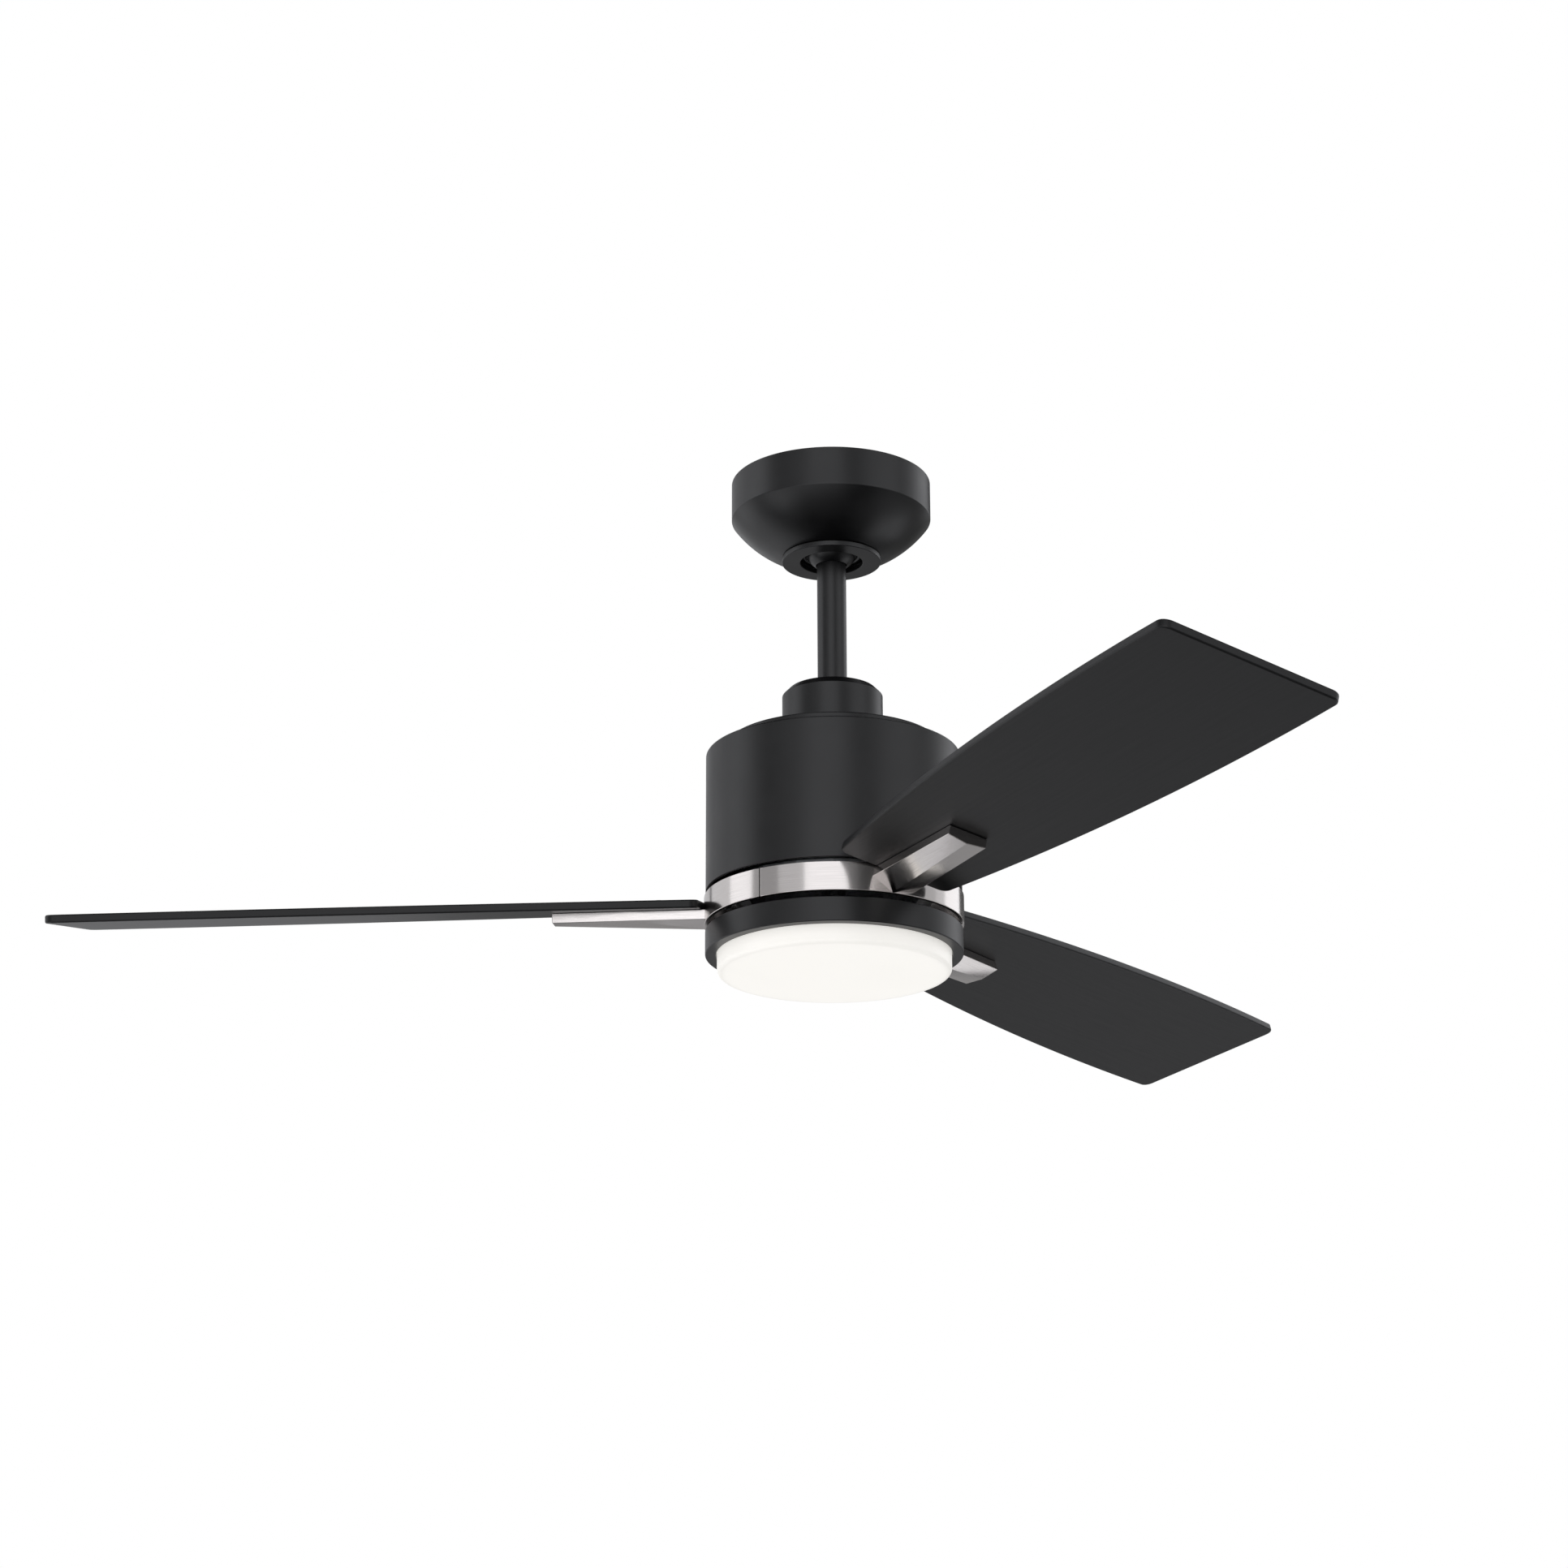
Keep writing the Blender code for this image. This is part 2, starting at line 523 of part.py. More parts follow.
def make_housing():
    edge = 0.0009
    crown_inner = HOUSING_CROWN_RADIUS - HOUSING_WALL
    inner = HOUSING_RADIUS - HOUSING_WALL
    centre = YOKE_RADIUS + 0.0005
    housing = turned("motor_housing", [
        (HOUSING_RADIUS, HOUSING_BOTTOM_Z), (HOUSING_RADIUS, HOUSING_RIM_Z - edge),
        (HOUSING_RADIUS - edge, HOUSING_RIM_Z),
        (HOUSING_CROWN_RADIUS, HOUSING_RIM_Z), (HOUSING_CROWN_RADIUS, HOUSING_CROWN_Z - edge),
        (HOUSING_CROWN_RADIUS - edge, HOUSING_CROWN_Z), (centre, HOUSING_CROWN_Z),
        (centre, HOUSING_CROWN_Z - HOUSING_WALL), (crown_inner, HOUSING_CROWN_Z - HOUSING_WALL),
        (crown_inner, HOUSING_RIM_Z - HOUSING_WALL), (inner, HOUSING_RIM_Z - HOUSING_WALL),
        (inner, HOUSING_BOTTOM_Z),
    ], "satin_black_paint")
    under = HOUSING_CROWN_Z - HOUSING_WALL
    holes = [hole(f"housing_hole_{i}", *polar(HOUSING_SCREW_RADIUS, a)[:2], under - 0.001,
                  HOUSING_CROWN_Z + 0.001, SCREW_HOLE_RADIUS) for i, a in enumerate(HOUSING_SCREW_AZIMUTHS)]
    cut(housing, *holes)
    for i, azimuth in enumerate(HOUSING_SCREW_AZIMUTHS, 1):
        x, y = polar(HOUSING_SCREW_RADIUS, azimuth)[:2]
        screw(f"housing_screw_{i}", x, y, HOUSING_CROWN_Z + GAP, 0.0020, HOUSING_SCREW_END_Z, 0.0019, 0.0036,
              "zinc_steel")


def make_shaft():
    turned("motor_shaft", [(SHAFT_RADIUS, SHAFT_TOP_Z), (SHAFT_RADIUS, SHAFT_BOTTOM_Z),
                           (SHAFT_BORE_RADIUS, SHAFT_BOTTOM_Z), (SHAFT_BORE_RADIUS, SHAFT_TOP_Z)],
           "zinc_steel", SMALL_ROUND)


def make_stator():
    """A laminated core with a tooth between each two slots, and a ring of end turns on each face."""
    slot_root, slot_half = 0.0270, math.radians(5.0)
    pitch = 2 * math.pi / STATOR_SLOTS
    outline = []
    for k in range(STATOR_SLOTS):
        middle = k * pitch
        outline += [polar(STATOR_RADIUS, middle + angle)[:2]
                    for angle in (-pitch / 2 + slot_half, 0.0, pitch / 2 - slot_half)]
        outline += [polar(slot_root, middle + angle)[:2]
                    for angle in (pitch / 2 - slot_half, pitch / 2 + slot_half)]
    core = extruded("stator_core", outline, STATOR_BOTTOM_Z, STATOR_TOP_Z, "silicon_steel")
    bore = rod_between("stator_bore", (0, 0, STATOR_BOTTOM_Z - 0.002), (0, 0, STATOR_TOP_Z + 0.002),
                       BEARING_BORE, sides=SMALL_ROUND)
    cut(core, bore)
    inner, outer = 0.0265, 0.0500
    round_off = 0.0030
    for name, near, far in (("winding_upper", STATOR_TOP_Z + GAP, WINDING_TOP_Z),
                            ("winding_lower", STATOR_BOTTOM_Z - GAP, WINDING_BOTTOM_Z)):
        step = round_off if far > near else -round_off
        turned(name, [(inner, near), (inner, far - step), (inner + round_off, far), (outer - round_off, far),
                      (outer, far - step), (outer, near)], "enamelled_copper", SMALL_ROUND)


def make_bearing(place, height):
    """Inner race, outer race, and eight balls held in their cage."""
    low, high = height - BEARING_WIDTH / 2, height + BEARING_WIDTH / 2
    half_wide, half_high = 0.0009, 0.0012
    near, far = BEARING_PITCH_RADIUS - half_wide, BEARING_PITCH_RADIUS + half_wide
    over, under = height + half_high, height - half_high
    turned(f"bearing_inner_{place}", [
        (BEARING_BORE, high), (BEARING_INNER_RADIUS, high), (BEARING_INNER_RADIUS, low), (BEARING_BORE, low),
    ], "bearing_steel", SMALL_ROUND)
    turned(f"bearing_outer_{place}", [
        (BEARING_OUTER_BORE, high), (BEARING_RADIUS, high), (BEARING_RADIUS, low), (BEARING_OUTER_BORE, low),
    ], "bearing_steel", SMALL_ROUND)
    cage = turned(f"bearing_cage_{place}", [(near, over), (far, over), (far, under), (near, under)],
                  "bearing_steel", SMALL_ROUND)
    bm = bmesh.new()
    for k in range(BALLS_IN_BEARING):
        centre = polar(BEARING_PITCH_RADIUS, 2 * math.pi * k / BALLS_IN_BEARING, height)
        bmesh.ops.create_uvsphere(bm, u_segments=6, v_segments=5, radius=BEARING_BALL_RADIUS,
                                  matrix=Matrix.Translation(centre))
    join(cage, add_object(f"bearing_balls_{place}", mesh_from(bm, f"bearing_balls_{place}")))


# ---------------------------------------------------------------- rotor and blades
ROTOR_BOSS_RADIUS = 0.0250
ROTOR_SHOULDER = 0.0030
UPPER_BOSS_Z = -0.2270
UPPER_WEB_Z = (-0.2380, -0.2420)
LOWER_BOSS_Z = (-0.2880, -0.3030)
LOWER_WEB_Z = (-0.2920, -0.2960)
ROTOR_FLANGE = 0.0041
MAGNET_RING_Z = (-0.2500, -0.2800)
MAGNET_AIR_GAP = 0.0010
ARM_SCREW_END_Z = -0.3158
ARM_SCREW_HOLE_RADIUS = 0.0025
BLADE_HOLE_RADIUS = 0.0026
ARM_HOLE_RADIUS = 0.0024


def make_rotor():
    boss = ROTOR_BOSS_RADIUS
    bore = BEARING_RADIUS + GAP
    web_top, web_bottom = UPPER_WEB_Z
    turned("rotor_shell_upper", [
        (bore, UPPER_BOSS_Z), (boss, UPPER_BOSS_Z), (boss, web_top), (ROTOR_RADIUS - ROTOR_SHOULDER, web_top),
        (ROTOR_RADIUS, web_top - ROTOR_SHOULDER), (ROTOR_RADIUS, ROTOR_SPLIT_Z),
        (ROTOR_BORE_RADIUS, ROTOR_SPLIT_Z), (ROTOR_BORE_RADIUS, web_bottom), (bore, web_bottom),
    ], "cast_aluminium", SMALL_ROUND)
    flange_top = ROTOR_FLANGE_Z + ROTOR_FLANGE
    boss_top, boss_bottom = LOWER_BOSS_Z
    web_top, web_bottom = LOWER_WEB_Z
    lower = turned("rotor_shell_lower", [
        (ROTOR_RADIUS, ROTOR_SPLIT_Z - GAP), (ROTOR_RADIUS, flange_top), (ROTOR_FLANGE_RADIUS, flange_top),
        (ROTOR_FLANGE_RADIUS, ROTOR_FLANGE_Z), (ROTOR_BORE_RADIUS, ROTOR_FLANGE_Z),
        (ROTOR_BORE_RADIUS, web_bottom), (boss, web_bottom), (boss, boss_bottom), (bore, boss_bottom),
        (bore, boss_top), (boss, boss_top), (boss, web_top), (ROTOR_BORE_RADIUS, web_top),
        (ROTOR_BORE_RADIUS, ROTOR_SPLIT_Z - GAP),
    ], "cast_aluminium", SMALL_ROUND)
    holes = [hole(f"rotor_hole_{k}", *polar(ARM_SCREW_RADIUS, blade_azimuth(k))[:2], ROTOR_FLANGE_Z - 0.001,
                  flange_top + 0.001, ARM_SCREW_HOLE_RADIUS) for k in range(BLADE_COUNT)]
    cut(lower, *holes)
    near, far = STATOR_RADIUS + MAGNET_AIR_GAP, ROTOR_BORE_RADIUS - GAP
    top, bottom = MAGNET_RING_Z
    turned("rotor_ring", [(near, top), (far, top), (far, bottom), (near, bottom)], "magnet_ferrite",
           SMALL_ROUND)


def blade_azimuth(k):
    return FIRST_BLADE_AZIMUTH + 2 * math.pi * k / BLADE_COUNT


def blade_frame(k):
    """Maps a blade's own axes (x outwards, y round, z up through it) to the fan."""
    return (Matrix.Translation((0, 0, BLADE_PLANE_Z)) @ Matrix.Rotation(blade_azimuth(k), 4, "Z")
            @ Matrix.Rotation(-BLADE_PITCH, 4, "X"))


def half_width(x):
    """The blade's half width at a distance from the axis: the parabola through its three driving widths."""
    root, middle, tip = BLADE_HALF_WIDTHS
    t = (x - BLADE_ROOT_RADIUS) / (SWEEP_RADIUS - BLADE_ROOT_RADIUS)
    return root * (1 - t) * (1 - 2 * t) + middle * 4 * t * (1 - t) + tip * t * (2 * t - 1)


def blade_outline(steps=7, corner_steps=2):
    """The blade's outline, with long curved edges, straight ends and rounded corners."""
    root, tip = BLADE_ROOT_RADIUS + BLADE_CORNER, SWEEP_RADIUS - BLADE_CORNER
    stations = [root + (tip - root) * i / steps for i in range(steps + 1)]
    turns = [math.pi / 2 * i / corner_steps for i in range(1, corner_steps + 1)]
    low = [(x, half_width(x)) for x in stations]
    steps_round = [(BLADE_CORNER * math.sin(a), BLADE_CORNER * (1 - math.cos(a))) for a in turns]
    tip_corner = [(tip + along, half_width(tip) - across) for along, across in steps_round]
    root_corner = [(root - along, half_width(root) - across) for along, across in steps_round]
    one_side = root_corner[::-1] + low + tip_corner
    other_side = [(x, -y) for x, y in reversed(one_side)]
    return [(x, y + BLADE_SHIFT) for x, y in one_side + other_side]


def make_blade(k):
    bm = bmesh.new()
    face = bm.faces.new([bm.verts.new((x, y, 0.0)) for x, y in blade_outline()])
    raised = bmesh.ops.extrude_face_region(bm, geom=[face])["geom"]
    raised_verts = [v for v in raised if isinstance(v, bmesh.types.BMVert)]
    bmesh.ops.translate(bm, verts=raised_verts, vec=(0, 0, BLADE_THICKNESS))
    rim = [edge for edge in bm.edges
           if len(edge.link_faces) == 2 and any(len(f.verts) > 4 for f in edge.link_faces)]
    bmesh.ops.bevel(bm, geom=rim, offset=BLADE_EDGE_BEVEL, segments=1, affect="EDGES", profile=0.5)
    blade = add_object(f"blade_{k + 1}", mesh_from(bm, f"blade_{k + 1}"), "black_blade")
    blade.matrix_world = blade_frame(k)
    for i, (x, y) in enumerate(BLADE_SCREW_PLACES):
        cutter = hole(f"blade_{k + 1}_hole_{i}", x, y, -0.0020, BLADE_THICKNESS + 0.0020, BLADE_HOLE_RADIUS)
        cutter.matrix_world = blade_frame(k)
        cut(blade, cutter)
        fixing = screw(f"blade_{k + 1}_screw_{i + 1}", x, y, BLADE_THICKNESS + GAP, 0.0022, -0.0058, 0.0021,
                       0.0042, "black_oxide_screw")
        fixing.matrix_world = blade_frame(k) @ Matrix.Translation((x, y, 0))


def arm_section(x, middle, half, ridge):
    """One end of the arm: a flat top, two side walls and an underside that comes to a ridge."""
    return [(x, middle - half, -GAP), (x, middle + half, -GAP), (x, middle + half, -ARM_SIDE),
            (x, middle, -ridge), (x, middle - half, -ARM_SIDE)]


def make_arm(k):
    """A third of the nickel ring, cast with its blade arm and the flange that is screwed to the rotor."""
    azimuth = blade_azimuth(k)
    half = math.pi / BLADE_COUNT - RING_SEAM_HALF_ANGLE
    arm = turned_part_way(f"blade_arm_{k + 1}", [
        (RING_FLANGE_RADIUS, RING_TOP_Z), (RING_RADIUS, RING_TOP_Z), (RING_RADIUS, RING_BOTTOM_Z),
        (RING_RADIUS - RING_WALL, RING_BOTTOM_Z), (RING_RADIUS - RING_WALL, RING_TOP_Z - RING_FLANGE),
        (RING_FLANGE_RADIUS, RING_TOP_Z - RING_FLANGE),
    ], azimuth - half, azimuth + half, "brushed_nickel")
    bm = bmesh.new()
    root = [bm.verts.new(p) for p in arm_section(ARM_ROOT_X, *ARM_ROOT_SECTION)]
    end = [bm.verts.new(p) for p in arm_section(ARM_END_X, *ARM_END_SECTION)]
    bm.faces.new(root)
    bm.faces.new(end[::-1])
    for i in range(len(root)):
        j = (i + 1) % len(root)
        bm.faces.new((root[i], end[i], end[j], root[j]))
    bar = add_object(f"arm_bar_{k + 1}", mesh_from(bm, f"arm_bar_{k + 1}"))
    bar.matrix_world = blade_frame(k)
    join(arm, bar)
    for i, (x, y) in enumerate(BLADE_SCREW_PLACES):
        cutter = hole(f"arm_{k + 1}_hole_{i}", x, y, -0.0062, 0.0030, ARM_HOLE_RADIUS)
        cutter.matrix_world = blade_frame(k)
        cut(arm, cutter)
    x, y = polar(ARM_SCREW_RADIUS, azimuth)[:2]
    flange_bottom = RING_TOP_Z - RING_FLANGE
    cut(arm, hole(f"arm_{k + 1}_flange_hole", x, y, flange_bottom - 0.001, RING_TOP_Z + 0.001,
                  ARM_SCREW_HOLE_RADIUS))
    screw(f"arm_screw_{k + 1}", x, y, flange_bottom - GAP, 0.0022, ARM_SCREW_END_Z, 0.0021, 0.0038,
          "zinc_steel", direction=-1)


# ---------------------------------------------------------------- light
MOUNT_PLATE_RADIUS = 0.0460
NUT_RADIUS = 0.0150          # to the hexagon's corners
NUT_BOTTOM_Z = -0.3490
PAN_SCREW_END_Z = -0.3416
PAN_THROAT_RADIUS = 0.0170
DRIVER_HALF_LENGTH = 0.0250
DRIVER_Y = (0.0140, 0.0380)
DRIVER_HEIGHT = 0.0125
TRAY_FLOOR_Z = (-0.3503, -0.3518)
TRAY_LIP_Z = (-0.3572, -0.3587)
TRAY_RADIUS = 0.0880
TRAY_WALL = 0.0015
TRAY_CENTRE_RADIUS = 0.0080
TRAY_RIB_RADII = (0.0700, 0.0720)
BOARD_Z = (-0.3521, -0.3537, -0.3545)        # its top, its face and the face of its light sources
BOARD_RADII = (0.0120, 0.0740)
SOURCE_RADII = (0.0400, 0.0600)


def make_light_mount():
    top, bottom = MOUNT_PLATE_Z
    plate = turned("light_mount_plate", [
        (BEARING_BORE, top), (MOUNT_PLATE_RADIUS, top), (MOUNT_PLATE_RADIUS, bottom), (BEARING_BORE, bottom),
    ], "zinc_steel", SMALL_ROUND)
    places = [polar(PAN_SCREW_RADIUS, a)[:2] for a in PAN_SCREW_AZIMUTHS]
    cut(plate, *[hole(f"plate_hole_{i}", x, y, bottom - 0.001, top + 0.001, 0.0022)
                 for i, (x, y) in enumerate(places)])
    hexagon = [polar(NUT_RADIUS, math.radians(60 * i))[:2] for i in range(6)]
    nut = extruded("shaft_lock_nut", hexagon, NUT_BOTTOM_Z, bottom - GAP, "zinc_steel")
    cut(nut, rod_between("nut_bore", (0, 0, NUT_BOTTOM_Z - 0.003), (0, 0, top), BEARING_BORE,
                         sides=SMALL_ROUND))
    for i, (x, y) in enumerate(places, 1):
        screw(f"pan_screw_{i}", x, y, PAN_TOP_Z - SHEET - GAP, 0.0022, PAN_SCREW_END_Z, 0.0019, 0.0036,
              "zinc_steel", direction=-1)
    near, far = DRIVER_Y
    block("led_driver", (-DRIVER_HALF_LENGTH, near, top + GAP),
          (DRIVER_HALF_LENGTH, far, top + DRIVER_HEIGHT), "moulded_black", bevel=0.0015)
    return places


def make_pan(screw_places):
    edge = 0.0007
    inner = PAN_RADIUS - SHEET
    pan = turned("light_pan", [
        (PAN_RADIUS, PAN_BOTTOM_Z + edge), (PAN_RADIUS, PAN_TOP_Z - edge), (PAN_RADIUS - edge, PAN_TOP_Z),
        (PAN_THROAT_RADIUS, PAN_TOP_Z), (PAN_THROAT_RADIUS, PAN_TOP_Z - SHEET), (inner, PAN_TOP_Z - SHEET),
        (inner, PAN_BOTTOM_Z + SHEET), (PAN_HOLE_RADIUS, PAN_BOTTOM_Z + SHEET),
        (PAN_HOLE_RADIUS, PAN_BOTTOM_Z), (PAN_RADIUS - edge, PAN_BOTTOM_Z),
    ], "satin_black_paint")
    cut(pan, *[hole(f"pan_hole_{i}", x, y, PAN_TOP_Z - SHEET - 0.001, PAN_TOP_Z + 0.001, SCREW_HOLE_RADIUS)
               for i, (x, y) in enumerate(screw_places)])


def tab_azimuths():
    return [math.radians(30 + 120 * k) for k in range(3)]


def make_tray():
    """The white tray over the light source. The lens's tabs turn above its lip, past three notches."""
    lip_top, lip_bottom = TRAY_LIP_Z
    top, bottom = TRAY_FLOOR_Z
    rib_near, rib_far = TRAY_RIB_RADII
    rib_top = PAN_TOP_Z - SHEET - GAP
    lip_radius = LENS_NECK_RADIUS + 0.0009
    inner = TRAY_RADIUS - TRAY_WALL
    tray = turned("reflector_tray", [
        (TRAY_CENTRE_RADIUS, top), (rib_near, top), (rib_near, rib_top), (rib_far, rib_top), (rib_far, top),
        (TRAY_RADIUS, top), (TRAY_RADIUS, lip_bottom), (lip_radius, lip_bottom), (lip_radius, lip_top),
        (inner, lip_top), (inner, bottom), (TRAY_CENTRE_RADIUS, bottom),
    ], "white_moulding")
    notch = [(lip_radius - 0.0030, lip_bottom - 0.001), (TAB_RADIUS + 0.0006, lip_bottom - 0.001),
             (TAB_RADIUS + 0.0006, lip_top + 0.0006), (lip_radius - 0.0030, lip_top + 0.0006)]
    half = TAB_HALF_ANGLE + math.radians(1.5)
    middles = [a + LENS_LOCK_ANGLE for a in tab_azimuths()]
    cut(tray, *[turned_part_way(f"tray_notch_{i}", notch, middle - half, middle + half, steps=2)
                for i, middle in enumerate(middles)])
    board_top, face, source_face = BOARD_Z
    board_near, board_far = BOARD_RADII
    source_near, source_far = SOURCE_RADII
    turned("led_board", [
        (board_near, board_top), (board_far, board_top), (board_far, face), (source_far, face),
        (source_far, source_face), (source_near, source_face), (source_near, face), (board_near, face),
    ], "circuit_board", SMALL_ROUND)


def make_lens():
    corner = []
    for angle in (math.radians(45 * i) for i in range(3)):
        corner.append((LENS_RADIUS - LENS_CORNER * (1 - math.cos(angle)),
                       LENS_BOTTOM_Z + LENS_CORNER * (1 - math.sin(angle))))
    inner = LENS_RADIUS - LENS_WALL
    floor = LENS_BOTTOM_Z + LENS_WALL
    lens = turned("lens", [(LENS_NECK_RADIUS, LENS_TOP_Z), (LENS_NECK_RADIUS, LENS_SHOULDER_Z),
                           (LENS_RADIUS, LENS_SHOULDER_Z)] + corner +
                  [(0.0, LENS_BOTTOM_Z), (0.0, floor), (inner - 0.0010, floor), (inner, floor + 0.0010),
                   (inner, LENS_SHOULDER_Z - 0.0023), (LENS_NECK_RADIUS - LENS_WALL, LENS_SHOULDER_Z),
                   (LENS_NECK_RADIUS - LENS_WALL, LENS_TOP_Z)], "opal_lens")
    tab = [(LENS_NECK_RADIUS - 0.0012, LENS_TOP_Z - 0.0001), (TAB_RADIUS, LENS_TOP_Z - 0.0001),
           (TAB_RADIUS, LENS_TOP_Z - TAB_HEIGHT), (LENS_NECK_RADIUS - 0.0012, LENS_TOP_Z - TAB_HEIGHT)]
    join(lens, *[turned_part_way(f"lens_tab_{i}", tab, a - TAB_HALF_ANGLE, a + TAB_HALF_ANGLE, steps=2)
                 for i, a in enumerate(tab_azimuths())])


# ---------------------------------------------------------------- the fan
clear_scene()
make_bracket()
make_canopy()
make_trim_ring()
make_receiver()
make_liner()
make_ball()
make_downrod()
make_lead_cable()
make_coupling_cover()
make_yoke()
make_clevis_pin()
make_housing()
make_shaft()
make_stator()
make_bearing("upper", BEARING_UPPER_Z)
make_bearing("lower", BEARING_LOWER_Z)
make_rotor()
for number in range(BLADE_COUNT):
    make_arm(number)
    make_blade(number)
make_pan(make_light_mount())
make_tray()
make_lens()
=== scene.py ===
"""Looks of a 44 inch three-blade ceiling fan with an integrated light, hung on a short downrod.

Every piece is placed in the fan's own frame: the origin is the middle of the ceiling plane, +Z is up and
lengths are in metres. The turned, cast and cut pieces are made afresh here with their real edges, and the
solids inside the motor keep their shape and get a finish of their own.
"""

import json
import logging
import math
from dataclasses import dataclass
from enum import Enum
from typing import Any, Iterable, Sequence

import bmesh
import bpy
from mathutils import Matrix, Vector

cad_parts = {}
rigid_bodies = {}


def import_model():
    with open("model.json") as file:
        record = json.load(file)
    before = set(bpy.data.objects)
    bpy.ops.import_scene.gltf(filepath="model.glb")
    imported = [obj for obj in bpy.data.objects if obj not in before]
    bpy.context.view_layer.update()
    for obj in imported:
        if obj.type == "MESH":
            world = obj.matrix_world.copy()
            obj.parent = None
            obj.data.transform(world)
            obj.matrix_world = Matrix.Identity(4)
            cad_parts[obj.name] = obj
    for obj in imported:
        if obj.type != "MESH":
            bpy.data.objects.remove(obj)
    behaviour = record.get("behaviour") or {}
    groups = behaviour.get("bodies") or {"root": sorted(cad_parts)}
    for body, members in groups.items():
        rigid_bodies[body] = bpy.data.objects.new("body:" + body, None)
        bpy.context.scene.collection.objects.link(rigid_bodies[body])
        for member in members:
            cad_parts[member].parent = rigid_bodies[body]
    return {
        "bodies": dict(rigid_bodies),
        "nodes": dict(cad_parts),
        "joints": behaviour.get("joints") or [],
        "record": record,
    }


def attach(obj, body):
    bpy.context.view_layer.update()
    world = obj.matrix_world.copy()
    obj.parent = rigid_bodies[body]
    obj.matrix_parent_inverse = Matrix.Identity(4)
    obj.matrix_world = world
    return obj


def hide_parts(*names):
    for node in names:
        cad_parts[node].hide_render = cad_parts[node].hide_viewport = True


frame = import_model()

Node = bpy.types.Node
Object = bpy.types.Object
Socket = bpy.types.NodeSocket
Tree = bpy.types.NodeTree
Point = tuple[float, float]
Corner = tuple[float, float, float]

log = logging.getLogger("fan")

MM = 0.001
ROUND_SIDES = 192
ROD_SIDES = 96
SMALL_SIDES = 32
SHARP_ANGLE = math.radians(42)
CORNER_STEP = math.radians(14)

GAP = 0.3 * MM
BLADE_COUNT = 3
SWEEP_RADIUS = 0.5588
BLADE_PLANE_Z = -0.3253
BLADE_PITCH = math.radians(13.57)
FIRST_BLADE_AZIMUTH = math.radians(-63.85)
BLADE_SCREW_PLACES = ((0.125, -0.0065), (0.125, 0.0110), (0.182, 0.0022))
PIVOT_Z = -0.0458
ROD_RADIUS = 0.01067
SCREW_HOLE = 2.3 * MM
CANOPY_SCREW_AZIMUTHS = (math.radians(45), math.radians(225))
HOUSING_SCREW_AZIMUTHS = (math.radians(60), math.radians(240))
HOUSING_SCREW_RADIUS = 0.027


# ---------------------------------------------------------------- colours, nodes and finishes
class Brushing(Enum):
    """Which way the abrasive belt ran over a brushed piece."""

    ROUND_THE_AXIS = "round the fan's axis"
    ALONG_X = "along the piece"


def linear(hex_colour: str) -> tuple[float, float, float, float]:
    """Turn an sRGB hex colour to the linear values that a shader takes.

    Args:
        hex_colour: a colour such as "#1c1c1e".

    Returns:
        Linear red, green and blue, and an alpha of 1.
    """
    values = [int(hex_colour[i:i + 2], 16) / 255 for i in (1, 3, 5)]
    red, green, blue = (v / 12.92 if v <= 0.04045 else ((v + 0.055) / 1.055) ** 2.4 for v in values)
    return red, green, blue, 1.0


def add_node(tree: Tree, kind: str, inputs: dict[Any, Any] | None = None,
             **settings: Any) -> Node:
    """Add one node with its settings, its constants and its links.

    Args:
        tree: the node tree it goes into.
        kind: Blender's name of the node type.
        inputs: input socket to the constant it holds or the output socket it is linked from.
        settings: the node's own properties.

    Returns:
        The new node.
    """
    node = tree.nodes.new(kind)
    for name, value in settings.items():
        setattr(node, name, value)
    for socket, value in (inputs or {}).items():
        if isinstance(value, Socket):
            tree.links.new(value, node.inputs[socket])
        else:
            node.inputs[socket].default_value = value
    return node


